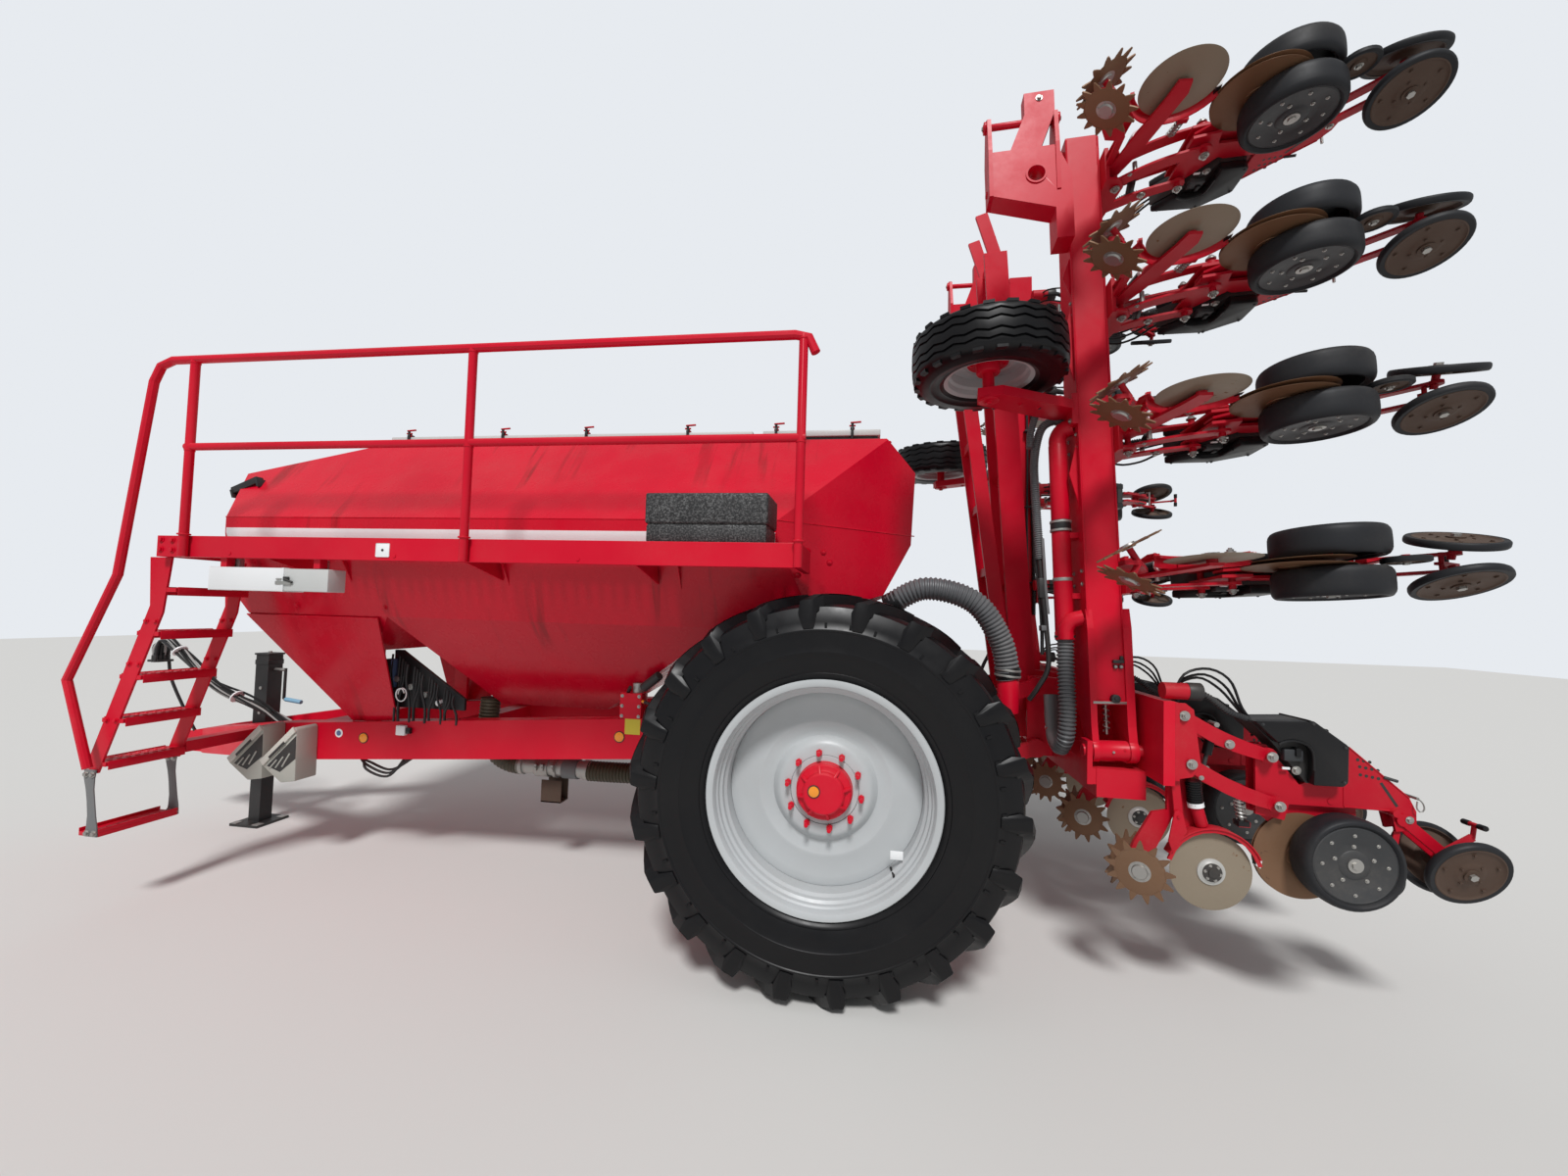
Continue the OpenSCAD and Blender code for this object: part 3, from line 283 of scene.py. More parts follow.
redColor = (0.62, 0.002, 0.022)
finishes = {
    "hopperRed": streaked("hopperRed", redColor, (0.36, 0.001, 0.010), 0.15, 0.24),
    "frameRed": weathered("frameRed", redColor, 0.22, 0.16, 0.34, specular=0.25),
    "workedRed": weathered("workedRed", (0.50, 0.003, 0.018), 0.45, 0.40, 0.40, specular=0.25),
    "paleGrey": weathered("paleGrey", (0.58, 0.59, 0.58), 0.3, 0.08, 0.42),
    "rimGrey": weathered("rimGrey", (0.47, 0.49, 0.50), 0.3, 0.05, 0.34),
    # Black paint, and also the black sheet of painted shade in the chocks' slots
    "blackPaintAndShade": weathered("blackPaintAndShade", (0.016, 0.016, 0.017), 0.3, 0.3, 0.42, chipColor=(0.2, 0.19, 0.18, 1)),
    "tyreRubber": weathered("tyreRubber", (0.004, 0.004, 0.005), 0.04, 0.0, 0.34, specular=0.28),
    "wheelRubber": weathered("wheelRubber", (0.018, 0.019, 0.022), 0.22, 0.05, 0.50, specular=0.22),
    # Black hose rubber, and also the dark sheet of painted shade between the funnels
    "hoseBlackAndShade": weathered("hoseBlackAndShade", (0.014, 0.014, 0.016), 0.25, 0.0, 0.42),
    "plasticBlack": weathered("plasticBlack", (0.009, 0.009, 0.010), 0.08, 0.0, 0.36, specular=0.3),
    "rustedSteel": weathered("rustedSteel", (0.20, 0.105, 0.055), 0.5, 0.5, 0.5, metallic=0.35),
    "rustIron": weathered("rustIron", (0.085, 0.050, 0.034), 0.55, 0.6, 0.6, metallic=0.3),
    "amberLens": weathered("amberLens", (0.85, 0.28, 0.01), 0.1, 0.0, 0.15, coat=0.5),
    "whitePlate": weathered("whitePlate", (0.84, 0.85, 0.86), 0.08, 0.02, 0.3),
    "galvanised": weathered("galvanised", (0.45, 0.45, 0.43), 0.5, 0.2, 0.45, metallic=0.7),
}
# The start of a node's name, and the finish of the nodes that begin with it; all others are frameRed
nodeFinish = {
    "hopper": "hopperRed", "lid": "paleGrey", "funnel_plate": "hopperRed", "document_box": "paleGrey",
    "tool_box": "plasticBlack", "wheel_chocks": "galvanised", "tyre": "tyreRubber", "rim": "rimGrey",
    "jack_housing": "blackPaintAndShade", "jack_leg": "blackPaintAndShade", "under_hose": "hoseBlackAndShade", "main_hose": "hoseBlackAndShade",
    "wing_hose": "hoseBlackAndShade", "support_wheel": "rimGrey", "support_tyre": "tyreRubber",
    "unit_frames": "workedRed", "unit_discs": "rustedSteel", "gauge_wheels": "wheelRubber",
    "closing_wheels": "rustIron", "meter_housings": "plasticBlack",
}


def dressNodes():
    for name, node in frame["nodes"].items():
        stem = next((key for key in nodeFinish if name.startswith(key)), None)
        material = finishes[nodeFinish[stem] if stem else "frameRed"]
        for place in node.material_slots:
            place.material = material


dressNodes()
print("finishes made")

# Mesh tools


def tint(verts, index):
    for vert in verts:
        for face in vert.link_faces:
            face.material_index = index


def soften(mesh, verts, width, segments=2):
    # Bevels all edges at these verts
    edges = list({edge for vert in verts for edge in vert.link_edges})
    return bmesh.ops.bevel(mesh, geom=edges, offset=width, segments=segments, affect="EDGES", profile=0.5,
                           material=-1)["verts"]


def addBox(mesh, low, high, bevel=0.0, index=0, segments=2):
    low, high = Vector(low), Vector(high)
    place = Matrix.Translation((low + high) / 2) @ Matrix.Diagonal((*(high - low), 1))
    verts = bmesh.ops.create_cube(mesh, size=1, matrix=place)["verts"]
    if bevel:
        verts = soften(mesh, verts, bevel, segments)
    tint(verts, index)
    return verts


def addTube(mesh, start, end, radius, segments=16, index=0, endRadius=None, bevel=0.0):
    start, end = Vector(start), Vector(end)
    turn = (end - start).to_track_quat("Z", "Y").to_matrix().to_4x4()
    made = bmesh.ops.create_cone(mesh, cap_ends=True, segments=segments, radius1=radius,
                                 radius2=radius if endRadius is None else endRadius, depth=(end - start).length,
                                 matrix=Matrix.Translation((start + end) / 2) @ turn)["verts"]
    if bevel:
        rims = [edge for edge in {edge for vert in made for edge in vert.link_edges}
                if any(len(face.verts) > 4 for face in edge.link_faces)]
        made = list(set(made) | set(bmesh.ops.bevel(mesh, geom=rims, offset=bevel, segments=2, affect="EDGES",
                                                    profile=0.5, material=-1)["verts"]))
        made = [vert for vert in made if vert.is_valid]
    tint(made, index)
    return made


def addPlate(mesh, outline, low, thickness, index=0, bevel=0.0, axis="Y"):
    # outline: X and Z for axis Y, Y and Z for axis X, X and Y for axis Z
    order = {"Y": (0, 2, 1), "X": (1, 2, 0), "Z": (0, 1, 2)}[axis]
    verts = []
    for across, over in outline:
        point = [0, 0, 0]
        point[order[0]], point[order[1]], point[order[2]] = across, over, low
        verts.append(mesh.verts.new(point))
    face = mesh.faces.new(verts)
    grown = bmesh.ops.extrude_face_region(mesh, geom=[face])["geom"]
    moved = [part for part in grown if isinstance(part, bmesh.types.BMVert)]
    shift = [0, 0, 0]
    shift[order[2]] = thickness
    bmesh.ops.translate(mesh, verts=moved, vec=shift)
    verts += moved
    if bevel:
        verts = soften(mesh, verts, bevel)
    tint(verts, index)
    return verts


def mirrored(profile):
    # The other half of a lathe's profile, back to front
    return [(radius, -place) for radius, place in reversed(profile)]


def addLathe(mesh, profile, centre, axis="Y", segments=48, index=0):
    # profile: radius and distance along the axis
    along = {"Y": Vector((0, 1, 0)), "X": Vector((1, 0, 0)), "Z": Vector((0, 0, 1))}[axis]
    out = Vector((1, 0, 0)) if axis == "Z" else Vector((0, 0, 1))
    centre = Vector(centre)
    verts = [mesh.verts.new(centre + out * radius + along * place) for radius, place in profile]
    edges = [mesh.edges.new(pair) for pair in zip(verts, verts[1:] + verts[:1])]
    bmesh.ops.spin(mesh, geom=verts + edges, cent=centre, axis=along, angle=2 * math.pi, steps=segments,
                   use_merge=True, use_duplicate=False)
    grown, border = set(verts), list(verts)
    while border:
        for edge in border.pop().link_edges:
            for vert in edge.verts:
                if vert not in grown:
                    grown.add(vert)
                    border.append(vert)
    tint(grown, index)
    return list(grown)


def addLoft(mesh, sections, index=0, bevel=0.0):
    # The first section is a face, which is extruded through the others
    face = mesh.faces.new([mesh.verts.new(point) for point in sections[0]])
    made = list(face.verts)
    for section in sections[1:]:
        grown = bmesh.ops.extrude_face_region(mesh, geom=[face])["geom"]
        face = next(part for part in grown if isinstance(part, bmesh.types.BMFace))
        for vert, point in zip(face.verts, section):
            vert.co = point
        made += list(face.verts)
    if bevel:
        edges = list({edge for vert in made for edge in vert.link_edges if edge.calc_face_angle(0) > 0.5})
        grown = bmesh.ops.bevel(mesh, geom=edges, offset=bevel, segments=1, affect="EDGES", profile=0.5, material=-1)
        made = [vert for vert in set(made) | set(grown["verts"]) if vert.is_valid]
    tint(made, index)
    return made


# Shares of a bolt's size: radius and height of its washer, radius and height of its head, and the head's bevel
boltShape = {"washer": 0.95, "washerHeight": 0.16, "head": 0.62, "height": 0.62, "bevel": 0.06}


def addBolt(mesh, place, direction, size=0.018, index=0):
    place, direction, shape = Vector(place), Vector(direction).normalized(), boltShape
    made = addTube(mesh, place, place + direction * size * shape["washerHeight"], size * shape["washer"], 12, index)
    made += addTube(mesh, place, place + direction * size * shape["height"], size * shape["head"], 6, index,
                    bevel=size * shape["bevel"])
    return made

def finishPiece(name, mesh, materials, body, replaced=(), smooth=35, merge=0.00002):
    if merge:
        bmesh.ops.remove_doubles(mesh, verts=mesh.verts, dist=merge)
    bmesh.ops.recalc_face_normals(mesh, faces=mesh.faces)
    data = bpy.data.meshes.new(name)
    mesh.to_mesh(data)
    mesh.free()
    for material in materials:
        data.materials.append(finishes[material])
    data.shade_smooth()
    data.set_sharp_from_angle(angle=math.radians(smooth))
    piece = bpy.data.objects.new(name, data)
    bpy.context.scene.collection.objects.link(piece)
    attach(piece, body)
    if replaced:
        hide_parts(*replaced)
    return piece


curveSteps = 24     # straight steps between two points of a route
ribShape = (0.0, 1.0, 1.0, 0.0)     # depth of the groove over one rib


def smoothRoute(points, step):
    # Points at even steps along a curve through the given ones
    points = [Vector(point) for point in points]
    fine = []
    for i in range(len(points) - 1):
        before, start = points[max(i - 1, 0)], points[i]
        end, after = points[i + 1], points[min(i + 2, len(points) - 1)]
        for k in range(curveSteps):
            t = k / curveSteps
            fine.append(0.5 * (2 * start + (end - before) * t + (2 * before - 5 * start + 4 * end - after) * t * t
                               + (3 * start - before - 3 * end + after) * t ** 3))
    fine.append(points[-1])
    length = sum((b - a).length for a, b in zip(fine, fine[1:]))
    count = max(2, round(length / step))
    route, walked, i = [fine[0]], 0.0, 0
    for k in range(1, count):
        while walked + (fine[i + 1] - fine[i]).length < k * length / count:
            walked += (fine[i + 1] - fine[i]).length
            i += 1
        share = (k * length / count - walked) / (fine[i + 1] - fine[i]).length
        route.append(fine[i].lerp(fine[i + 1], share))
    return route + [fine[-1]]


def addHose(mesh, points, radius, ribs=0.0, depth=0.0, sides=12, index=0, step=None):
    # A hose along a curve; ribs is the distance between two ribs and depth their height
    route = smoothRoute(points, ribs / len(ribShape) if ribs else step or radius)
    curve = bpy.data.curves.new("route", "CURVE")
    curve.dimensions = "3D"
    curve.bevel_depth = radius
    curve.bevel_resolution = max(0, (sides - 4) // 2)
    curve.use_fill_caps = True
    line = curve.splines.new("POLY")
    line.points.add(len(route) - 1)
    for i, (point, place) in enumerate(zip(line.points, route)):
        point.co = (*place, 1)
        point.radius = 1 - depth / radius * ribShape[i % len(ribShape)] if ribs else 1
    holder = bpy.data.objects.new("route", curve)
    bpy.context.scene.collection.objects.link(holder)
    shape = holder.evaluated_get(bpy.context.evaluated_depsgraph_get()).to_mesh()
    known = len(mesh.verts)
    mesh.from_mesh(shape)
    bpy.data.objects.remove(holder)
    bpy.data.curves.remove(curve)
    mesh.verts.ensure_lookup_table()
    made = [mesh.verts[i] for i in range(known, len(mesh.verts))]
    tint(made, index)
    return made


# Where the wings and the rows stand

hinges = {side: Vector(joints[name]["pos_m"]) for side, name in ((1, "wing_left_fold"), (-1, "wing_right_fold"))}
hingeTurn = {"fold": math.radians(93), "pitch": math.radians(1.75)}
rowSpread = {"pitch": 0.750, "first": 0.890, "step": 0.110}


def wingPlace(side):
    # From a lowered wing, x from the axle, y out and z up from the hinge, to the folded one
    hinge = hinges[side]
    turned = Matrix.Rotation(side * hingeTurn["fold"], 4,
                             Vector((math.cos(hingeTurn["pitch"]), 0, -math.sin(hingeTurn["pitch"]))))
    return Matrix.Translation(hinge) @ turned @ Matrix.Diagonal((1, side, 1, 1)) @ Matrix.Translation(
        (axle.x - hinge.x, 0, 0))


def rowPlaces():
    spread = rowSpread["pitch"]
    groups = {"center": [Matrix.Translation((axle.x, spread * (k - 1.5), 0)) for k in range(4)]}
    for side, name in ((1, "left"), (-1, "right")):
        groups[name] = [wingPlace(side) @ Matrix.Translation((rowSpread["step"], rowSpread["first"] + k * spread,
                                                              -hinges[side].z)) for k in range(4)]
    return groups


rows = rowPlaces()
carriers = {"center": "toolbar", "left": "wing_left", "right": "wing_right"}


def repeatShape(mesh, places):
    # One shape, copied to each place
    once = bpy.data.meshes.new("once")
    mesh.to_mesh(once)
    mesh.free()
    whole = bmesh.new()
    for place in places:
        known = len(whole.verts)
        whole.from_mesh(once)
        whole.verts.ensure_lookup_table()
        bmesh.ops.transform(whole, matrix=place, verts=whole.verts[known:])
    bpy.data.meshes.remove(once)
    return whole


def bothSides(mesh):
    # The shape at y and its mirror image at -y
    return repeatShape(mesh, [Matrix.Identity(4), Matrix.Diagonal((1, -1, 1, 1))])


# Road wheels: drawn about the left wheel's middle, and mirrored for the right one

tyre = {"radius": 0.975, "carcass": 0.925, "half": 0.262, "seat": 0.5345, "lugs": 22, "wallRibs": 44}
# One lug: reach past the middle, end before the shoulder, lean and curve of its line, its width and the shares of
# it at foot, top and shoulder, falls of its top and floor, and the places of its outer wall
lug = {"reach": 0.012, "end": 0.020, "lean": 0.245, "curve": 0.85, "width": 0.062, "foot": 1.35, "top": 0.8,
       "shoulder": 1.25, "drop": 0.018, "clear": 0.0005, "topFall": 0.020, "sink": 0.020, "floorFall": 0.030,
       "steps": 7, "wallLow": 0.125, "wallRise": 0.04, "wallInset": 0.006,
       "wallTurn": (0.034, 0.030)}
rim = {"seat": 0.5335, "flange": 0.5605, "half": 0.213, "dish": 0.030, "hub": 0.170}
hub = {"radius": 0.170, "front": 0.064, "bore": 0.04505, "webs": 8, "nuts": 10, "nutRing": 0.184, "flange": 0.1405,
       "badge": (0.045, 0.012)}
valve = {"stem": [(-0.33, 0.075, -0.345), (-0.345, 0.135, -0.36)],
         "cap": [(-0.345, 0.130, -0.36), (-0.348, 0.150, -0.364)],
         "plate": [(-0.385, 0.125, -0.285), (-0.325, 0.129, -0.245)]}


def onWheel(turn, radius, across):
    return Vector((radius * math.cos(turn), across, radius * math.sin(turn)))


def addLug(mesh, wheel, shape, turn, side):
    # One slanted bar from the shoulder to just past the middle of the tread
    sections, reach = [], wheel["half"] - shape["end"]
    for k in range(shape["steps"]):
        share = k / (shape["steps"] - 1)
        across = side * (reach - share * (reach + shape["reach"]))
        angle = turn + shape["lean"] * share ** shape["curve"]
        top = wheel["radius"] - shape["clear"] - shape["topFall"] * (abs(across) / wheel["half"]) ** 3
        floor = wheel["carcass"] - shape["sink"] - shape["floorFall"] * (abs(across) / wheel["half"]) ** 2
        half = shape["width"] / wheel["radius"] / 2
        if k == 0:
            top -= shape["drop"]
            half *= shape["shoulder"]
        foot, crest = half * shape["foot"], half * shape["top"]
        sections.append([onWheel(angle - foot, floor, across), onWheel(angle - crest, top, across),
                         onWheel(angle + crest, top, across), onWheel(angle + foot, floor, across)])
    low, (wide, narrow) = wheel["carcass"] - shape["wallLow"], shape["wallTurn"]
    high, outer, inset = low + shape["wallRise"], side * wheel["half"], side * (wheel["half"] - shape["wallInset"])
    wall = [onWheel(turn - wide, low, inset), onWheel(turn - narrow, high, outer),
            onWheel(turn + narrow, high, outer), onWheel(turn + wide, low, inset)]
    return addLoft(mesh, [wall] + sections, bevel=0.004)


def addTyre(settings, lugShape):
    mesh = bmesh.new()
    seat, crown = settings["seat"], settings["carcass"]
    side = [(seat + 0.001, 0.205), (seat + 0.014, 0.2145), (seat + 0.030, 0.218), (seat + 0.040, 0.226),
            (seat + 0.048, 0.234), (seat + 0.056, 0.236), (seat + 0.060, 0.232), (seat + 0.075, 0.238),
            (seat + 0.110, 0.249), (seat + 0.150, 0.255), (seat + 0.154, 0.258), (seat + 0.162, 0.258),
            (seat + 0.166, 0.2565), (seat + 0.205, 0.258), (seat + 0.250, 0.255), (seat + 0.254, 0.258),
            (seat + 0.262, 0.2575), (seat + 0.266, 0.254), (seat + 0.300, 0.247), (seat + 0.340, 0.236),
            (crown - 0.020, 0.222), (crown - 0.006, 0.195), (crown, 0.12)]
    profile = side + [(crown + 0.003, 0.0)] + mirrored(side)
    addLathe(mesh, profile, (0, 0, 0), "Y", 132)
    for k in range(settings["lugs"]):
        turn = 2 * math.pi * k / settings["lugs"] - lugShape["lean"]
        addLug(mesh, settings, lugShape, turn, 1)
        addLug(mesh, settings, lugShape, turn + math.pi / settings["lugs"], -1)
    for k in range(settings["wallRibs"]):       # short ribs on the shoulders' walls
        turn = Matrix.Rotation(2 * math.pi * k / settings["wallRibs"], 3, "Y")
        for face in (1, -1):
            addBox(mesh, (-0.006, face * 0.2515 - 0.004, seat + 0.272), (0.006, face * 0.2515 + 0.004, seat + 0.296))
            # Known fault: the last eight verts aren't the new box's everywhere, so three ribs are lost
            bmesh.ops.rotate(mesh, cent=(0, 0, 0), matrix=turn, verts=mesh.verts[-8:])
    return mesh


def addRim(settings):
    mesh = bmesh.new()
    seat, half, dish, inside = settings["seat"], settings["half"], settings["dish"], settings["hub"]
    outer = [(seat, half), (settings["flange"] - 0.006, half + 0.001), (settings["flange"], half + 0.006),
             (settings["flange"] + 0.001, half + 0.014), (settings["flange"] - 0.004, half + 0.021),
             (seat + 0.008, half + 0.022), (seat - 0.006, half + 0.016), (seat - 0.012, half + 0.004),
             (seat - 0.014, half - 0.022), (seat - 0.022, half - 0.030), (seat - 0.024, half - 0.052),
             (seat - 0.036, half - 0.062), (seat - 0.038, half - 0.088), (seat - 0.050, half - 0.102),
             (seat - 0.052, dish + 0.012)]
    inner = mirrored(outer)
    inner[0] = (seat - 0.052, dish - 0.020)
    back = [(seat - 0.006, -half), (seat - 0.006, half)]
    addLathe(mesh, outer + inner + back, (0, 0, 0), "Y", 128)
    face = [(seat - 0.0535, dish + 0.004), (seat - 0.070, dish + 0.008), (seat - 0.100, dish + 0.006),
            (0.345, dish + 0.001), (0.335, dish + 0.004), (0.325, dish + 0.002), (0.285, dish - 0.012),
            (0.262, dish - 0.008), (0.245, dish + 0.012), (0.232, dish + 0.026), (0.215, dish + 0.032),
            (inside + 0.001, dish + 0.034)]
    plate = face + [(radius, place - 0.012) for radius, place in reversed(face)]
    addLathe(mesh, plate, (0, 0, 0), "Y", 128)
    return mesh


def addHub(settings):
    mesh = bmesh.new()
    red, amber, black, grey = range(4)
    edge, front, bore = settings["radius"], settings["front"], settings["bore"]
    body = [(bore, -0.120), (0.108, -0.120), (0.112, -0.112), (0.120, -0.040), (edge, -0.035),
            (edge, front - 0.004), (edge - 0.004, front), (0.141, front + 0.001), (0.138, front + 0.008),
            (0.136, front + 0.040), (0.128, front + 0.049), (0.112, front + 0.051), (0.104, front + 0.055),
            (0.101, front + 0.078), (0.093, front + 0.086), (0, front + 0.088), (0, 0.080), (bore, 0.080)]
    addLathe(mesh, body, (0, 0, 0), "Y", 64)
    for face in mesh.faces:     # the flange has the rim's colour
        middle = face.calc_center_median()
        if math.hypot(middle.x, middle.z) > settings["flange"]:
            face.material_index = grey
    for k in range(settings["webs"]):       # between the cap and its collar
        made = addPlate(mesh, [(0.095, front + 0.030), (0.1345, front + 0.030), (0.1340, front + 0.054),
                               (0.098, front + 0.082)], -0.006, 0.012, red, 0.0015, "Z")
        bmesh.ops.rotate(mesh, cent=(0, 0, 0), verts=made,
                         matrix=Matrix.Rotation(2 * math.pi * k / settings["webs"] + 0.2, 3, "Y"))
    for k in range(settings["nuts"]):
        foot = onWheel(2 * math.pi * k / settings["nuts"] + 0.15, settings["nutRing"], front - 0.002)
        addTube(mesh, foot, foot + Vector((0, 0.020, 0)), 0.0165, 6, red, bevel=0.001)
        addTube(mesh, foot + Vector((0, 0.014, 0)), foot + Vector((0, 0.058, 0)), 0.0105, 12, red, bevel=0.0015)
    x, z = settings["badge"]        # amber reflector in a black ring
    addTube(mesh, (x, front + 0.084, z), (x, front + 0.097, z), 0.026, 24, amber, bevel=0.003)
    addTube(mesh, (x, front + 0.084, z), (x, front + 0.0915, z), 0.031, 24, black, bevel=0.001)
    return mesh


def addValve(settings):
    mesh = bmesh.new()
    black, white = range(2)
    addTube(mesh, *settings["stem"], 0.006, 10, black)
    addTube(mesh, *settings["cap"], 0.0085, 10, black, bevel=0.001)
    addBox(mesh, *settings["plate"], 0.001, white)
    return mesh


def placeWheel(mesh, side):
    centre = Vector((axle.x, side * axle.y, axle.z))
    bmesh.ops.transform(mesh, matrix=Matrix.Translation(centre) @ Matrix.Diagonal((1, side, 1, 1)), verts=mesh.verts)
    return mesh


for side, name in ((1, "left"), (-1, "right")):
    body = "wheel_" + name
    finishPiece("tyre_tread_" + name, placeWheel(addTyre(tyre, lug), side), ["tyreRubber"], body, ["tyre_" + name], 32)
    finishPiece("wheel_disc_" + name, placeWheel(addRim(rim), side), ["rimGrey"], body, ["rim_" + name], 32)
    finishPiece("hub_cap_" + name, placeWheel(addHub(hub), side), ["frameRed", "amberLens", "blackPaintAndShade", "rimGrey"],
                body, ["hub_" + name], 32)
    finishPiece("valve_" + name, placeWheel(addValve(valve), side), ["plasticBlack", "whitePlate"], body)
print("road wheels made")


# Row units: each shape is drawn once, x from the axle, and copied to the twelve rows

gaugeWheel = {"x": -2.325, "z": 0.815, "across": 0.0875, "bore": 0.01805, "radius": 0.2025}
closingWheel = {"x": -2.790, "z": 0.806, "across": 0.088, "lean": math.radians(70)}
catchWheel = {"x": -2.540, "z": 0.715}
opener = {"x": -2.190, "z": 0.797, "across": 0.0125, "radius": 0.195, "toe": math.radians(1.5)}
fertDisc = {"x": -1.811, "z": 0.692, "across": 0.015, "radius": 0.178}
star = {"x": -1.478, "z": 0.685, "across": 0.075, "toe": math.radians(28), "radius": 0.1425, "teeth": 13}


def ringOfBolts(mesh, count, reach, height, size, index, up=1, start=0.0, along="Y"):
    for k in range(count):
        turn = start + 2 * math.pi * k / count
        if along == "Y":
            addBolt(mesh, (reach * math.cos(turn), height, reach * math.sin(turn)), (0, up, 0), size, index)
        else:
            addBolt(mesh, (reach * math.cos(turn), reach * math.sin(turn), height), (0, 0, up), size, index)


def makeGaugeWheel(settings):
    mesh = bmesh.new()
    rubber, plate, steel = range(3)
    edge = [(0.168, 0.050), (0.172, 0.058), (0.178, 0.0625), (0.186, 0.0615), (0.192, 0.0575), (0.199, 0.046),
            (0.2018, 0.034), (settings["radius"], 0.012)]
    ring = [(0.1655, 0.046)] + edge + mirrored(edge) + [(0.1655, -0.046)]
    addLathe(mesh, ring, (0, 0, 0), "Y", 48, rubber)
    bore = settings["bore"]
    disc = [(bore, 0), (0.046, 0), (0.046, 0.033), (0.050, 0.036), (0.156, 0.036), (0.1640, 0.030), (0.1640, -0.047),
            (0.1665, -0.049), (0.1670, 0.050), (0.160, 0.0525), (0.155, 0.050), (0.104, 0.0478), (0.098, 0.0440),
            (0.064, 0.0440), (0.059, 0.0475), (0.040, 0.0490), (bore, 0.0490)]
    addLathe(mesh, disc, (0, 0, 0), "Y", 48, plate)
    ringOfBolts(mesh, 8, 0.128, 0.0485, 0.0085, steel)
    ringOfBolts(mesh, 5, 0.080, 0.0440, 0.0095, steel, start=0.3)
    addTube(mesh, (0, 0.046, 0), (0, 0.054, 0), 0.031, 20, steel)
    addTube(mesh, (0, 0.054, 0), (0, 0.0600, 0), 0.017, 6, steel)
    bmesh.ops.transform(mesh, matrix=Matrix.Translation((settings["x"], settings["across"], settings["z"])),
                        verts=mesh.verts)
    return bothSides(mesh)


def makeClosingWheels(settings, small):
    mesh = bmesh.new()
    rubber, iron, steel = range(3)
    ring = [(0.1265, -0.0135), (0.131, -0.0150), (0.149, -0.0160), (0.1535, -0.011), (0.155, -0.004), (0.155, 0.004),
            (0.1535, 0.011), (0.149, 0.0160), (0.131, 0.0150), (0.1265, 0.0135)]
    addLathe(mesh, ring, (0, 0, 0), "Z", 48, rubber)
    disc = [(0.012, 0.018), (0.040, 0.018), (0.045, 0.0165), (0.058, 0), (0.062, -0.002), (0.119, -0.002),
            (0.124, 0.004), (0.128, 0.0150), (0.1315, 0.0158), (0.1315, -0.0158), (0.127, -0.0165), (0.121, -0.0120),
            (0.114, -0.0105), (0.064, -0.0100), (0.058, -0.0115), (0.047, -0.0155), (0.043, -0.016), (0.012, -0.016)]
    addLathe(mesh, disc, (0, 0, 0), "Z", 48, iron)
    ringOfBolts(mesh, 5, 0.102, -0.0105, 0.0095, iron, -1, 0.2, "Z")
    ringOfBolts(mesh, 4, 0.050, -0.0140, 0.0080, iron, -1, 0.6, "Z")
    addTube(mesh, (0, 0, -0.014), (0, 0, -0.022), 0.030, 20, iron)
    addTube(mesh, (0, 0, -0.022), (0, 0, -0.033), 0.016, 6, steel)
    bmesh.ops.transform(mesh, matrix=Matrix.Translation((settings["x"], settings["across"], settings["z"]))
                        @ Matrix.Rotation(settings["lean"], 4, "X"), verts=mesh.verts)
    mesh = bothSides(mesh)
    tyreEdge = [(0.060, 0.0100), (0.066, 0.0125), (0.073, 0.0120), (0.078, 0.008)]
    addLathe(mesh, tyreEdge + mirrored(tyreEdge), (small["x"], 0, small["z"]), "Y", 32, rubber)
    addLathe(mesh, [(0.014, 0.009), (0.026, 0.009), (0.030, 0.005), (0.056, 0.005), (0.0605, 0.0095),
                    (0.0605, -0.0095), (0.056, -0.005), (0.030, -0.005), (0.026, -0.012), (0.014, -0.012)],
             (small["x"], 0, small["z"]), "Y", 32, iron)
    addBolt(mesh, (small["x"], -0.010, small["z"]), (0, -1, 0), 0.018, steel)
    return mesh


def addDisc(mesh, radius, centre, index, half=0.002, segments=64):
    # A thin disc, ground to an edge on its rim
    addLathe(mesh, [(0, half), (radius - 0.012, half), (radius, 0.0004), (radius, -0.0004), (radius - 0.012, -half),
                    (0, -half)], centre, "Y", segments, index)


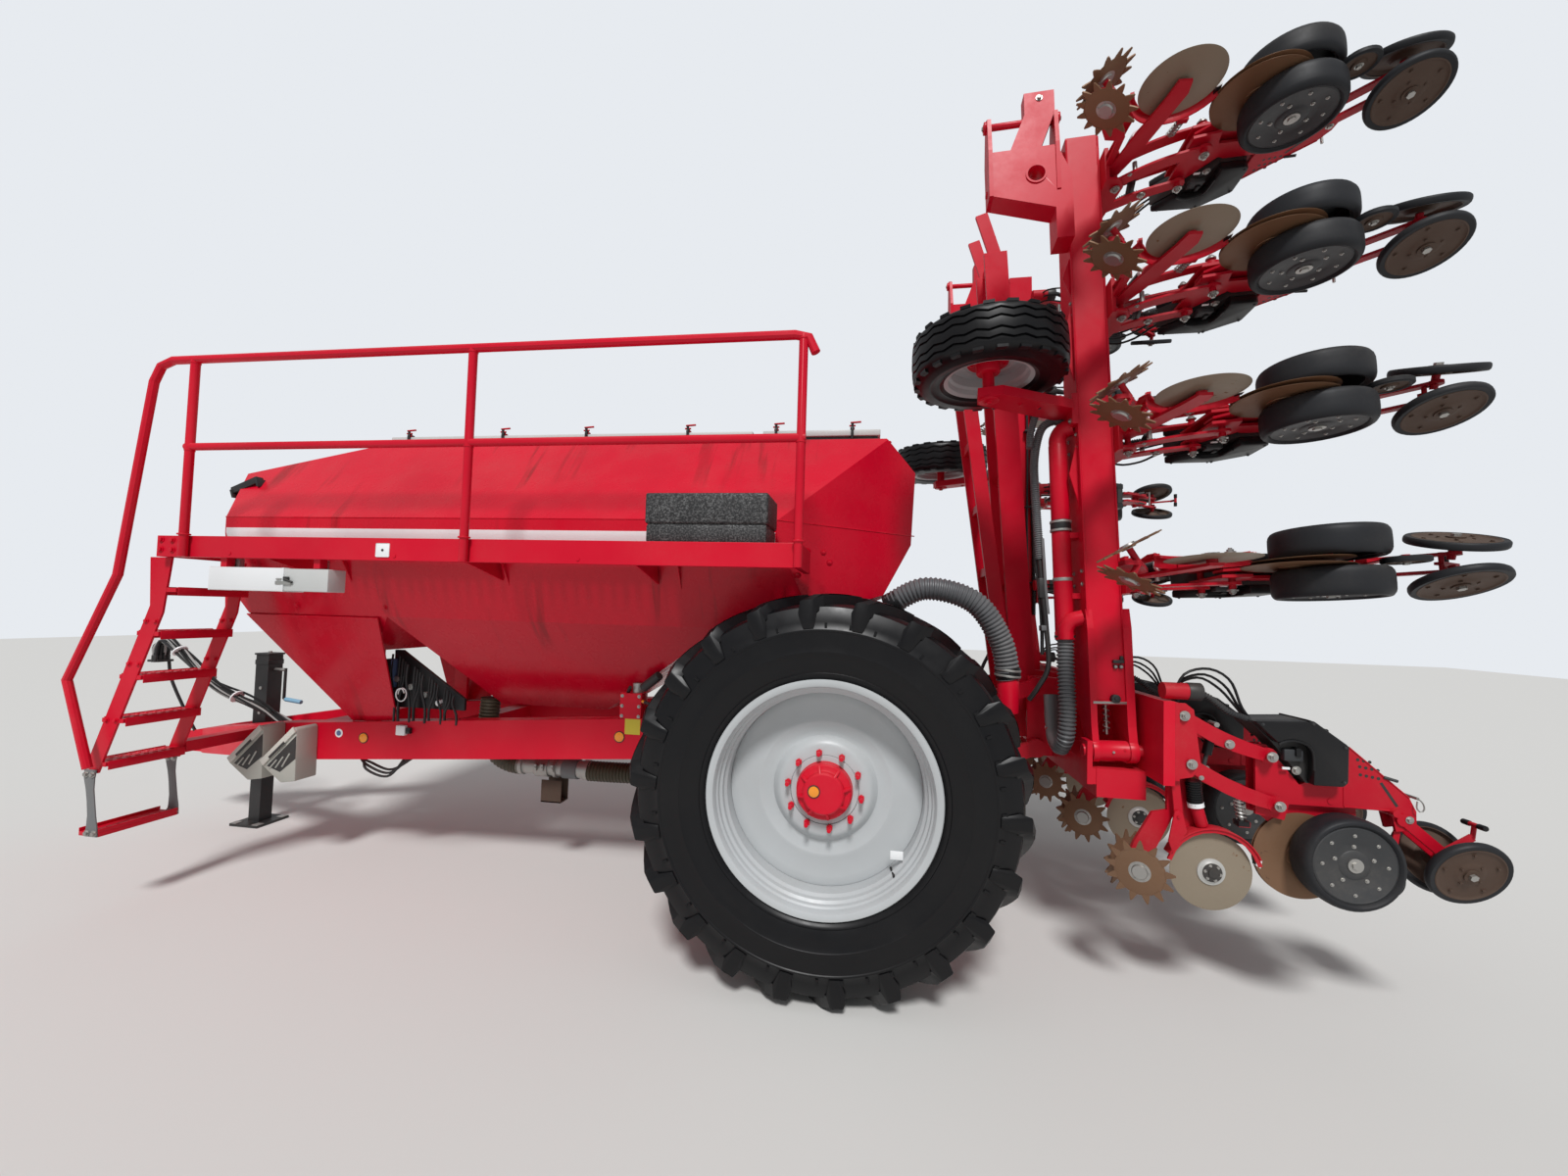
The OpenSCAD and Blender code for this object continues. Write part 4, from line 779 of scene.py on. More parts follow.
def makeDiscs(opener, fert, rake):
    mesh = bmesh.new()
    rusted, steel, soiled, dark, silver = range(5)
    addDisc(mesh, opener["radius"], (0, 0, 0), rusted)
    addLathe(mesh, [(0, 0.0008), (0.060, 0.0008), (0.058, 0.0055), (0.040, 0.0065), (0.036, 0.0105), (0, 0.0105)],
             (0, 0, 0), "Y", 32, rusted)
    bmesh.ops.transform(mesh, matrix=Matrix.Translation((opener["x"], opener["across"], opener["z"]))
                        @ Matrix.Rotation(-opener["toe"], 4, "Z"), verts=mesh.verts)
    known = len(mesh.verts)
    addDisc(mesh, rake["radius"] - 0.036, (0, 0, 0), rusted, 0.003, 26)
    for k in range(rake["teeth"]):
        # Teeth that lean back as they run out
        turn = 2 * math.pi * k / rake["teeth"]
        made = addPlate(mesh, [(-0.017, 0.101), (0.017, 0.101), (0.012, 0.122), (0.0045, 0.1425), (-0.002, 0.1425),
                               (-0.010, 0.124)], -0.003, 0.006, rusted)
        bmesh.ops.rotate(mesh, cent=(0, 0, 0), matrix=Matrix.Rotation(turn, 3, "Y"), verts=made)
    addLathe(mesh, [(0, 0.010), (0.030, 0.010), (0.034, 0.004), (0.046, 0.003), (0.046, -0.003), (0.034, -0.004),
                    (0.030, -0.012), (0, -0.012)], (0, 0, 0), "Y", 32, steel)
    ringOfBolts(mesh, 6, 0.040, -0.003, 0.006, steel, -1)
    mesh.verts.ensure_lookup_table()
    bmesh.ops.transform(mesh, matrix=Matrix.Translation((rake["x"], rake["across"], rake["z"]))
                        @ Matrix.Rotation(-rake["toe"], 4, "Z") @ Matrix.Rotation(math.pi, 4, "Z"),
                        verts=mesh.verts[known:])
    mesh = bothSides(mesh)
    place = (fert["x"], fert["across"], fert["z"])
    addDisc(mesh, fert["radius"], place, soiled, 0.003, 64)
    addLathe(mesh, [(0, 0.001), (0.062, 0.001), (0.060, 0.009), (0.050, 0.011), (0.046, 0.015), (0.030, 0.019),
                    (0, 0.019)], place, "Y", 40, silver)
    addLathe(mesh, [(0, 0.017), (0.043, 0.0155), (0.042, 0.0190), (0.030, 0.0215), (0, 0.0215)], place, "Y", 32, dark)
    for k in range(6):
        turn = k * math.pi / 3 + 0.2
        addBolt(mesh, (fert["x"] + 0.033 * math.cos(turn), place[1] + 0.020, fert["z"] + 0.033 * math.sin(turn)),
                (0, 1, 0), 0.008, steel)
    addTube(mesh, (fert["x"], place[1] + 0.018, fert["z"]), (fert["x"], place[1] + 0.026, fert["z"]), 0.020, 20, dark)
    return mesh


finishes["soiledSteel"] = weathered("soiledSteel", (0.27, 0.22, 0.16), 0.7, 0.62, 0.45, metallic=0.25,
                                    chipColor=(0.20, 0.10, 0.045, 1), dustColor=(0.36, 0.31, 0.24, 1))
finishes["hubSilver"] = weathered("hubSilver", (0.50, 0.50, 0.48), 0.4, 0.2, 0.35, metallic=0.2)
finishes["wheelPlate"] = weathered("wheelPlate", (0.030, 0.032, 0.035), 0.5, 0.30, 0.5,
                                   chipColor=(0.25, 0.22, 0.18, 1))
finishes["brightSteel"] = weathered("brightSteel", (0.42, 0.41, 0.39), 0.45, 0.15, 0.35, metallic=0.8)
# Dark iron, and also dark sheets of painted shade: under the lids, on the chocks' ends, in the tail plates' holes and
# slot
finishes["darkIronAndShade"] = weathered("darkIronAndShade", (0.035, 0.034, 0.034), 0.5, 0.3, 0.45, metallic=0.3)


def placeOnRows(name, build, materials, replaced=None, body=None):
    shape = build()
    once = bpy.data.meshes.new("once")
    shape.to_mesh(once)
    shape.free()
    for group, places in rows.items():
        single = bmesh.new()
        single.from_mesh(once)
        finishPiece(name + "_" + group, repeatShape(single, places), materials,
                    body + "_" + group if body else carriers[group], [replaced + "_" + group] if replaced else (),
                    merge=0.00001)
    bpy.data.meshes.remove(once)


placeOnRows("depth_wheels", lambda: makeGaugeWheel(gaugeWheel), ["wheelRubber", "wheelPlate", "brightSteel"],
            "gauge_wheels", "gauge_wheels")
placeOnRows("press_wheels", lambda: makeClosingWheels(closingWheel, catchWheel),
            ["wheelRubber", "rustIron", "brightSteel"], "closing_wheels")
placeOnRows("furrow_discs", lambda: makeDiscs(opener, fertDisc, star),
            ["rustedSteel", "brightSteel", "soiledSteel", "darkIronAndShade", "hubSilver"], "unit_discs")
print("wheels and discs of the rows made")


# Covers of the seed meters, and the small fittings of each row

meter = {"outline": [(-1.953, 1.414), (-2.196, 1.428), (-2.336, 1.323), (-2.331, 1.160), (-2.311, 1.140),
                     (-2.187, 1.140), (-2.049, 1.314)],
         "arch": [(-2.190, 1.140), (-2.193, 1.210), (-2.190, 1.285), (-2.174, 1.316), (-2.145, 1.331),
                  (-2.108, 1.337), (-2.075, 1.330), (-2.052, 1.318)], "core": 0.055, "half": 0.0995}
armPins = [(-1.661, 1.421), (-2.028, 1.255), (-1.693, 1.200), (-2.059, 1.035)]


def makeMeter(settings):
    mesh = bmesh.new()
    plastic, dark, plate, steel, white = range(5)
    core, half = settings["core"], settings["half"]
    middle = [(x + 0.006 if x < -2.3 else x, z) for x, z in settings["outline"]]
    addPlate(mesh, middle, -core, 2 * core, dark)
    shell = settings["outline"][:5] + settings["arch"]
    for face in (1, -1):
        low = core if face > 0 else -half
        addPlate(mesh, shell, low, half - core, plastic, 0.009)
        route = [(x + 0.002, face * (half - 0.001), z - 0.002) for x, z in settings["arch"][1:]]
        addHose(mesh, route, 0.0055, sides=8, index=plastic, step=0.02)
        addBox(mesh, (-2.165, min(face * 0.050, face * 0.078), 1.238),
               (-2.085, max(face * 0.050, face * 0.078), 1.292), 0.006, plate)
        addBox(mesh, (-2.150, min(face * 0.050, face * 0.088), 1.262),
               (-2.128, max(face * 0.050, face * 0.088), 1.300), 0.004, plastic)
        addBox(mesh, (-2.120, min(face * 0.054, face * 0.060), 1.196),
               (-2.088, max(face * 0.054, face * 0.060), 1.207), 0.001, white)
        addBolt(mesh, (-2.148, face * 0.054, 1.194), (0, face, 0), 0.021, steel)
        for x, z in ((-1.985, 1.402), (-2.190, 1.414), (-2.318, 1.316), (-2.312, 1.162)):
            addBolt(mesh, (x, face * half, z), (0, face, 0), 0.0075, plate)
    # Seam over the top and the lid's hinge
    addBox(mesh, (-2.180, -0.1005, 1.4245), (-2.172, 0.1005, 1.4310), 0.001, plastic)
    addTube(mesh, (-2.262, -0.07, 1.382), (-2.262, 0.07, 1.382), 0.009, 12, plastic)
    return mesh


def makeFittings(pins):
    mesh = bmesh.new()
    red, steel, dark, plate, plastic, white = range(6)
    for face in (1, -1):
        for x, z in pins:
            addTube(mesh, (x, face * 0.089, z), (x, face * 0.095, z), 0.0235, 20, steel)
            addTube(mesh, (x, face * 0.094, z), (x, face * 0.106, z), 0.0150, 6, steel)
            addTube(mesh, (x, face * 0.105, z), (x, face * 0.113, z), 0.0085, 12, steel)
        addTube(mesh, (-1.863, face * 0.066, 1.298), (-1.863, face * 0.074, 1.298), 0.021, 20, steel)
        addTube(mesh, (-1.863, face * 0.073, 1.298), (-1.863, face * 0.084, 1.298), 0.013, 6, steel)
        addBolt(mesh, (-1.746, face * 0.066, 1.135), (0, face, 0), 0.012, steel)
        addBolt(mesh, (-2.606, face * 0.044, 1.003), (0, face, 0), 0.018, steel)
        addBolt(mesh, (-2.370, face * 0.034, 0.940), (0, face, 0), 0.016, steel)
        # Rows of holes in the tail plate, drawn as thin dark discs of painted shade: how many, and x and z of the first
        for count, x, z in ((4, -2.418, 1.224), (4, -2.420, 1.188), (3, -2.410, 1.255)):
            for k in range(count):
                hole = (x - 0.024 * k, z - 0.004 * k)
                addTube(mesh, (hole[0], face * 0.0350, hole[1]), (hole[0], face * 0.0366, hole[1]), 0.0075, 8, dark)
        addTube(mesh, (-2.512, face * 0.036, 1.184), (-2.560, face * 0.046, 1.171), 0.007, 8, plate)
        # A dark strip for the slot in the tail plate: painted shade in it
        groove = addBox(mesh, (-0.006, face * 0.0352, -0.060), (0.006, face * 0.0366, 0.060), 0, dark)
        bmesh.ops.transform(mesh, matrix=Matrix.Translation((-2.533, 0, 1.107)) @ Matrix.Rotation(0.56, 4, "Y"),
                            verts=groove)
        # Edges welded round the tail plate
        for (x0, z0), (x1, z1) in (((-2.352, 1.302), (-2.352, 1.045)), ((-2.375, 1.309), (-2.612, 1.098)),
                                   ((-2.352, 1.040), (-2.540, 1.036))):
            addTube(mesh, (x0, face * 0.036, z0), (x1, face * 0.036, z1), 0.0035, 8, red)
        for x, z in ((-1.530, 1.455), (-1.530, 1.240), (-1.600, 1.455), (-1.600, 1.240)):
            addBolt(mesh, (x - 0.085, face * 0.084, z - 0.02), (0, face, 0), 0.011, red)
    # Cross tube, ring pin and handle
    addTube(mesh, (-2.548, -0.058, 1.029), (-2.548, 0.058, 1.029), 0.016, 16, red)
    addTube(mesh, (-2.634, -0.052, 1.101), (-2.634, 0.052, 1.101), 0.0065, 10, steel)
    ring = [(-2.634, 0.054, 1.101), (-2.646, 0.060, 1.085), (-2.652, 0.060, 1.060), (-2.640, 0.058, 1.044),
            (-2.626, 0.056, 1.060), (-2.630, 0.054, 1.090)]
    addHose(mesh, ring, 0.003, sides=6, index=steel, step=0.012)
    for end in (1, -1):
        addTube(mesh, (-2.893, end * 0.018, 0.990), (-2.893, end * 0.052, 0.990), 0.0125, 14, plastic, bevel=0.003)
    # Down force cylinder with its rod, and the spring behind the lower arm
    addTube(mesh, (-1.831, 0.0, 1.372), (-1.800, 0.0, 1.232), 0.021, 16, plastic, bevel=0.002)
    addTube(mesh, (-1.800, 0.0, 1.232), (-1.789, 0.0, 1.176), 0.009, 12, plate)
    addTube(mesh, (-1.831, -0.030, 1.378), (-1.831, 0.030, 1.378), 0.012, 12, steel)
    addTube(mesh, (-1.788, -0.030, 1.172), (-1.788, 0.030, 1.172), 0.012, 12, steel)
    addTube(mesh, (-1.908, 0.052, 1.045), (-1.922, 0.052, 0.952), 0.010, 12, steel)
    spring = []
    for k in range(41):
        turn = k * math.pi / 4
        spring.append((-1.908 - 0.014 * k / 40 + 0.019 * math.cos(turn) * 0.97, 0.052 + 0.019 * math.sin(turn),
                       1.040 - 0.083 * k / 40))
    addHose(mesh, spring, 0.0035, sides=6, index=steel, step=0.013)
    addBox(mesh, (-1.948, 0.028, 0.925), (-1.898, 0.076, 0.951), 0.003, red)
    # Air hose between the arms, its clamp and the stub under it
    addHose(mesh, [(-1.728, 0.030, 1.112), (-1.733, 0.030, 1.060), (-1.738, 0.030, 1.000)], 0.034, ribs=0.011,
            depth=0.006, sides=14, index=plastic)
    addTube(mesh, (-1.737, 0.030, 1.012), (-1.741, 0.030, 0.992), 0.0345, 20, white)
    addTube(mesh, (-1.741, 0.030, 0.996), (-1.770, 0.022, 0.905), 0.027, 16, red, bevel=0.002)
    # Guard over the fertiliser disc, its ear and its white tip
    turns = [math.radians(a) for a in range(22, 160, 9)]
    outer, inner = [[(-1.811 + radius * math.cos(turn), 0.692 + radius * math.sin(turn)) for turn in turns]
                    for radius in (0.212, 0.206)]
    addPlate(mesh, outer + inner[::-1], -0.004, 0.062, red, 0.0015)
    addPlate(mesh, [(-1.628, 0.776), (-1.610, 0.830), (-1.636, 0.968), (-1.652, 0.976), (-1.672, 0.960),
                    (-1.690, 0.880)], 0.049, 0.010, red, 0.002)
    addBolt(mesh, (-1.652, 0.059, 0.945), (0, 1, 0), 0.010, red)
    addPlate(mesh, [(-1.990, 0.792), (-2.012, 0.770), (-2.005, 0.735), (-1.985, 0.748)], 0.018, 0.030, white, 0.002)
    # Cables and the coiled lead from the toolbar to the meter
    for shift, rise in ((0.000, 0.0), (0.028, 0.030), (-0.030, -0.020)):
        addHose(mesh, [(-1.630, shift + 0.02, 1.500), (-1.680, shift + 0.02, 1.580 + rise),
                       (-1.790, shift * 1.4, 1.610 + rise), (-1.880, shift * 1.5, 1.560 + rise),
                       (-1.935, shift, 1.470), (-1.975, shift * 0.8, 1.415)], 0.0062, sides=8, index=plastic,
                step=0.03)
    addHose(mesh, [(-1.700, 0.050, 1.545), (-1.780, 0.056, 1.510), (-1.860, 0.052, 1.450), (-1.925, 0.040, 1.425),
                   (-1.965, 0.030, 1.412)], 0.015, ribs=0.012, depth=0.005, sides=10, index=plate)
    # Air pipe with its cap
    addTube(mesh, (-1.585, 0.045, 1.530), (-1.690, 0.045, 1.530), 0.040, 20, red)
    addTube(mesh, (-1.690, 0.045, 1.530), (-1.752, 0.045, 1.530), 0.0425, 24, dark, bevel=0.003)
    return mesh


placeOnRows("meter_covers", lambda: makeMeter(meter), ["plasticBlack", "darkIronAndShade", "wheelPlate", "brightSteel",
                                                       "whitePlate"], "meter_housings")
placeOnRows("row_fittings", lambda: makeFittings(armPins),
            ["workedRed", "brightSteel", "darkIronAndShade", "wheelPlate", "plasticBlack", "whitePlate"])
print("covers and fittings of the rows made")


# Wings: support wheels, air pipes and hoses, and what is bolted to the beams

supportWheel = {"place": (-0.850, 2.010, -0.208), "seat": 0.2155, "waves": 22, "wave": 0.0065,
                "bore": 0.03005}
wingHose = {"radius": 0.045, "rib": 0.020, "depth": 0.008,
            "route": [(-1.262, 0.575, 0.110), (-1.257, 0.420, 0.100), (-1.250, 0.200, 0.070), (-1.240, 0.060, 0.080),
                      (-1.230, -0.010, 0.140), (-1.220, 0.020, 0.230), (-1.230, 0.110, 0.290)]}


def makeSupportTyre(settings):
    mesh = bmesh.new()
    half = [(0.2155, 0.094), (0.222, 0.104), (0.240, 0.1115), (0.246, 0.1155), (0.252, 0.1145), (0.290, 0.1225),
            (0.296, 0.1245), (0.302, 0.1235), (0.335, 0.1215), (0.358, 0.116), (0.370, 0.109)]
    tread = [(0.380, 0.099), (0.3855, 0.084), (0.3860, 0.0745), (0.3760, 0.0715), (0.3760, 0.0645), (0.3875, 0.0615),
             (0.3885, 0.0440), (0.3885, 0.0345), (0.3775, 0.0315), (0.3775, 0.0245), (0.3890, 0.0215),
             (0.3898, 0.0110)]
    outline = half + tread
    addLathe(mesh, outline + mirrored(outline), (0, 0, 0), "Y",
             settings["waves"] * 6)
    for vert in mesh.verts:     # the grooves run in waves
        reach = math.hypot(vert.co.x, vert.co.z)
        if reach > 0.374:
            turn = math.atan2(vert.co.x, vert.co.z) * settings["waves"] / (2 * math.pi) % 1
            vert.co.y += settings["wave"] * (abs(turn - 0.5) * 4 - 1) * (1 if abs(vert.co.y) < 0.09 else 0.3)
    for k in range(settings["waves"]):
        for face in (1, -1):
            turn = 2 * math.pi * (k + (0.5 if face > 0 else 0)) / settings["waves"]
            made = addPlate(mesh, [(-0.024, 0.350), (0.020, 0.352), (0.030, 0.3795), (-0.020, 0.3795)],
                            face * 0.1100 - 0.0075, 0.015, 0)
            bmesh.ops.rotate(mesh, cent=(0, 0, 0), matrix=Matrix.Rotation(turn, 3, "Y"), verts=made)
    return mesh


def makeSupportRim(settings):
    mesh = bmesh.new()
    red = 1
    seat = settings["seat"]
    outer = [(seat - 0.0005, 0.0945), (seat + 0.018, 0.0975), (seat + 0.021, 0.1015), (seat + 0.018, 0.106),
             (seat + 0.004, 0.105), (seat - 0.012, 0.096), (seat - 0.016, 0.070), (seat - 0.028, 0.058),
             (seat - 0.031, 0.013)]
    plate = [(0.160, 0.011), (0.150, 0.016), (0.128, 0.016), (0.120, 0.008), (0.100, 0.006)]
    face = outer + plate
    addLathe(mesh, face + mirrored(face), (0, 0, 0), "Y", 64)
    hub = [(settings["bore"], -0.070), (0.056, -0.070), (0.060, -0.064), (0.062, -0.020), (0.104, -0.017),
           (0.106, 0.017), (0.064, 0.020), (0.062, 0.050), (0.054, 0.060), (settings["bore"], 0.060)]
    addLathe(mesh, hub, (0, 0, 0), "Y", 40, red)
    ringOfBolts(mesh, 6, 0.085, 0.017, 0.014, red)
    ringOfBolts(mesh, 6, 0.085, -0.017, 0.014, red, -1)
    return mesh


def makeWingHose(settings):
    mesh = bmesh.new()
    smooth, black = 1, 4
    route = settings["route"]
    addHose(mesh, route[:5] + [(-1.228, -0.015, 0.160)], settings["radius"], ribs=settings["rib"],
            depth=settings["depth"], sides=20)
    addHose(mesh, [(-1.229, -0.012, 0.150), (-1.222, 0.005, 0.205), (-1.226, 0.060, 0.265), (-1.230, 0.250, 0.300)],
            settings["radius"] - 0.002, sides=24, index=smooth, step=0.02)
    addTube(mesh, (-1.230, 0.246, 0.2995), (-1.230, 0.2505, 0.3003), settings["radius"] - 0.008, 24, black)
    for y, z, index in ((0.062, 0.267, 2), (0.072, 0.273, 3), (0.082, 0.278, 2)):
        addTube(mesh, (-1.227, y - 0.004, z - 0.003), (-1.227, y + 0.004, z + 0.003), settings["radius"] - 0.0005, 28,
                index)
    return mesh


def makeWingPipes():
    # Elbow, clamps and coupler of the air pipe, the conduits beside it
    mesh = bmesh.new()
    red, zinc, black, grey, smooth, beige = 0, 2, 3, 4, 5, 6
    addHose(mesh, [(-1.258, 0.570, 0.085), (-1.260, 0.620, 0.075), (-1.285, 0.662, 0.060), (-1.340, 0.680, 0.045)],
            0.040, sides=20, index=red, step=0.012)
    addTube(mesh, (-1.262, 0.560, 0.110), (-1.262, 0.604, 0.110), 0.0505, 32, red, bevel=0.003)
    addTube(mesh, (-1.262, 0.572, 0.110), (-1.262, 0.584, 0.110), 0.0525, 32, black, bevel=0.001)
    addTube(mesh, (-1.262, 0.878, 0.110), (-1.262, 0.896, 0.110), 0.0505, 32, zinc, bevel=0.001)
    addBox(mesh, (-1.262, 0.876, 0.155), (-1.236, 0.898, 0.172), 0.002, zinc)
    addTube(mesh, (-1.262, 1.150, 0.110), (-1.262, 1.215, 0.110), 0.0525, 32, black, bevel=0.003)
    for y in (1.158, 1.205):
        addTube(mesh, (-1.262, y - 0.006, 0.110), (-1.262, y + 0.006, 0.110), 0.0555, 32, zinc, bevel=0.001)
    addTube(mesh, (-1.262, 1.210, 0.110), (-1.262, 1.640, 0.110), 0.0475, 32, red, bevel=0.003)
    addHose(mesh, [(-1.262, 1.636, 0.110), (-1.264, 1.680, 0.112), (-1.290, 1.722, 0.105), (-1.338, 1.735, 0.085)],
            0.045, sides=20, index=red, step=0.014)
    # Grey conduits: over the top of the pipe and down its front
    addHose(mesh, [(-1.327, 1.785, 0.160), (-1.250, 1.800, 0.165), (-1.186, 1.745, 0.160), (-1.148, 1.580, 0.155),
                   (-1.145, 1.398, 0.150), (-1.150, 1.230, 0.150), (-1.158, 1.009, 0.150)], 0.024, ribs=0.012,
            depth=0.004, sides=14, index=grey)
    addHose(mesh, [(-1.158, 1.015, 0.150), (-1.163, 0.845, 0.140), (-1.176, 0.629, 0.140), (-1.182, 0.416, 0.150),
                   (-1.130, 0.300, 0.170), (-1.090, 0.230, 0.210)], 0.014, sides=12, index=black, step=0.03)
    addHose(mesh, [(-1.150, 1.250, 0.178), (-1.140, 1.050, 0.176), (-1.152, 0.860, 0.168), (-1.160, 0.640, 0.168),
                   (-1.160, 0.480, 0.185)], 0.010, sides=10, index=black, step=0.03)
    addHose(mesh, [(-1.170, 1.120, 0.125), (-1.172, 0.980, 0.118), (-1.176, 0.840, 0.120), (-1.186, 0.700, 0.125)],
            0.008, sides=10, index=smooth, step=0.03)
    addBox(mesh, (-1.180, 0.790, 0.120), (-1.142, 0.900, 0.170), 0.005, black)
    addBox(mesh, (-1.176, 0.610, 0.126), (-1.146, 0.640, 0.178), 0.003, black)
    addHose(mesh, [(-1.119, 1.640, 0.130), (-1.130, 1.740, 0.130), (-1.170, 1.850, 0.130), (-1.225, 1.880, 0.130),
                   (-1.262, 1.850, 0.150)], 0.020, ribs=0.011, depth=0.004, sides=12, index=grey)
    addHose(mesh, [(-1.322, 1.770, 0.190), (-1.300, 1.735, 0.200), (-1.306, 1.640, 0.195), (-1.313, 1.540, 0.190),
                   (-1.300, 1.428, 0.185), (-1.318, 1.350, 0.180)], 0.017, ribs=0.010, depth=0.004, sides=12,
            index=beige)
    return mesh


def makeBeamFittings():
    mesh = bmesh.new()
    red, hose, steel, black = range(4)
    under = -0.0155
    for x in (-1.488, -1.462):
        addBox(mesh, (x - 0.009, 0.414, under - 0.012), (x + 0.009, 0.432, under + 0.001), 0.001, hose)
        addBolt(mesh, (x, 0.423, under - 0.012), (0, 0, -1), 0.008, steel)
    addBox(mesh, (-1.500, 0.441, under - 0.018), (-1.450, 0.458, under + 0.001), 0.002, black)
    addBox(mesh, (-1.500, 0.458, under - 0.012), (-1.485, 0.478, under + 0.001), 0.002, black)
    addTube(mesh, (-1.452, 0.262, under + 0.020), (-1.452, 0.262, under - 0.030), 0.022, 20, black, bevel=0.003)
    addBolt(mesh, (-1.452, 0.262, under - 0.028), (0, 0, -1), 0.014, black)
    # Ledge over the window, and the spring in it
    addBox(mesh, (-1.505, 0.236, under - 0.016), (-1.345, 0.250, under + 0.002), 0.002, red)
    coil = [(-1.440 + 0.016 * math.cos(k * math.pi / 4), 0.085 + 0.0038 * k,
             0.080 + 0.016 * math.sin(k * math.pi / 4)) for k in range(37)]
    addHose(mesh, coil, 0.0035, sides=6, index=steel, step=0.013)
    addTube(mesh, (-1.440, 0.070, 0.080), (-1.440, 0.236, 0.080), 0.007, 10, steel)
    # Weld beads along the cheeks, on each edge of the beam's underside
    for x in (-1.3425, -1.5075):
        addTube(mesh, (x, 0.62, under + 0.002), (x, 3.385, under + 0.029), 0.0055, 8, red)
    for y in (1.02, 1.77, 2.52, 3.27):
        # Clamps that hold the rows' brackets
        addBox(mesh, (-1.5120, y - 0.055, 0.010), (-1.500, y + 0.055, 0.200), 0.003, red)
        for z in (0.040, 0.170):
            for shift in (-0.035, 0.035):
                addBolt(mesh, (-1.3395, y - 0.13 + shift, z), (1, 0, 0), 0.013, steel)
    # Foot: end caps of the hinge, its grease nipple and the pin's head
    addBolt(mesh, (-1.330, 0.0, 0.0), (1, 0, 0), 0.024, red)
    addTube(mesh, (-1.3345, 0.0, 0.0), (-1.3305, 0.0, 0.0), 0.046, 28, red, bevel=0.0015)
    addTube(mesh, (-1.425, 0.0, -0.048), (-1.425, 0.0, -0.058), 0.006, 8, steel)
    addBolt(mesh, (-1.480, 0.010, -0.048), (0, 0, -1), 0.008, red)
    # Lock arm: bolt on the bumper, plates' rims
    addBolt(mesh, (-1.185, 3.590, -0.075), (0, 0, -1), 0.020, steel)
    addLathe(mesh, [(0.046, -0.0845), (0.056, -0.0845), (0.056, -0.0905), (0.046, -0.0905)], (-1.154, 3.130, 0), "Z",
             28, red)
    for x, face in ((-0.905, 1), (-1.280, -1)):
        addTube(mesh, (x, 3.480, -0.040), (x + face * 0.016, 3.480, -0.040), 0.032, 24, red, bevel=0.002)
        addBolt(mesh, (x + face * 0.015, 3.480, -0.040), (face, 0, 0), 0.018, steel)
        addTube(mesh, (x - face * 0.004, 3.100, 0.000), (x + face * 0.008, 3.100, 0.000), 0.018, 16, red)
    # Support arm: pivot bolt and clamp plate
    for y, z in ((1.748, 0.030), (1.862, 0.030), (1.748, 0.160), (1.862, 0.160)):
        addBolt(mesh, (-1.310, y, z), (1, 0, 0), 0.016, steel)
    addTube(mesh, (-0.850, 1.790, -0.208), (-0.850, 1.806, -0.208), 0.052, 24, red, bevel=0.002)
    addBolt(mesh, (-0.850, 1.792, -0.208), (0, -1, 0), 0.026, red)
    for x, z in ((-1.02, -0.125), (-1.13, -0.060)):
        addBolt(mesh, (x, 1.800, z), (0, -1, 0), 0.014, red)
    # Cable along the beam with its ties
    addHose(mesh, [(-1.490, 0.700, 0.280), (-1.495, 1.200, 0.262), (-1.480, 1.800, 0.262), (-1.492, 2.400, 0.254),
                   (-1.485, 3.100, 0.238)], 0.016, ribs=0.014, depth=0.004, sides=10, index=hose)
    addHose(mesh, [(-1.452, 0.600, 0.284), (-1.446, 1.300, 0.258), (-1.455, 2.000, 0.255), (-1.446, 2.900, 0.238)],
            0.009, sides=8, index=hose, step=0.06)
    for y in (0.95, 1.55, 2.15, 2.75):
        addBox(mesh, (-1.510, y, 0.220), (-1.430, y + 0.012, 0.282), 0.001, black)
    return mesh


finishes["hoseGrey"] = weathered("hoseGrey", (0.105, 0.108, 0.115), 0.55, 0.0, 0.40, dustColor=(0.42, 0.40, 0.37, 1))
finishes["hoseSmooth"] = weathered("hoseSmooth", (0.16, 0.165, 0.17), 0.4, 0.0, 0.35)
finishes["hoseBeige"] = weathered("hoseBeige", (0.36, 0.22, 0.13), 0.5, 0.0, 0.5)


def placeOnWings(name, build, materials, replaced=None, body=None, smooth=35):
    for side, group in ((1, "left"), (-1, "right")):
        finishPiece(name + "_" + group, repeatShape(build(), [wingPlace(side)]), materials,
                    (body or "wing") + "_" + group, [replaced + "_" + group] if replaced else (), smooth, 0.00001)


def atSupport(mesh):
    bmesh.ops.transform(mesh, matrix=Matrix.Translation(supportWheel["place"]), verts=mesh.verts)
    return mesh


placeOnWings("support_tread", lambda: atSupport(makeSupportTyre(supportWheel)), ["tyreRubber"], "support_tyre",
             "support_wheel", 40)
placeOnWings("support_disc", lambda: atSupport(makeSupportRim(supportWheel)), ["rimGrey", "frameRed"],
             "support_wheel", "support_wheel")
placeOnWings("air_hose", lambda: makeWingHose(wingHose),
             ["hoseGrey", "hoseSmooth", "frameRed", "whitePlate", "plasticBlack"], "wing_hose")
placeOnWings("air_pipes", makeWingPipes,
             ["frameRed", "plasticBlack", "galvanised", "blackPaintAndShade", "hoseGrey", "hoseSmooth", "hoseBeige"])
placeOnWings("beam_fittings", makeBeamFittings, ["frameRed", "hoseBlackAndShade", "brightSteel", "blackPaintAndShade"])
print("wings made")


# Hopper: lids with their latches, white band, lamp and bolts

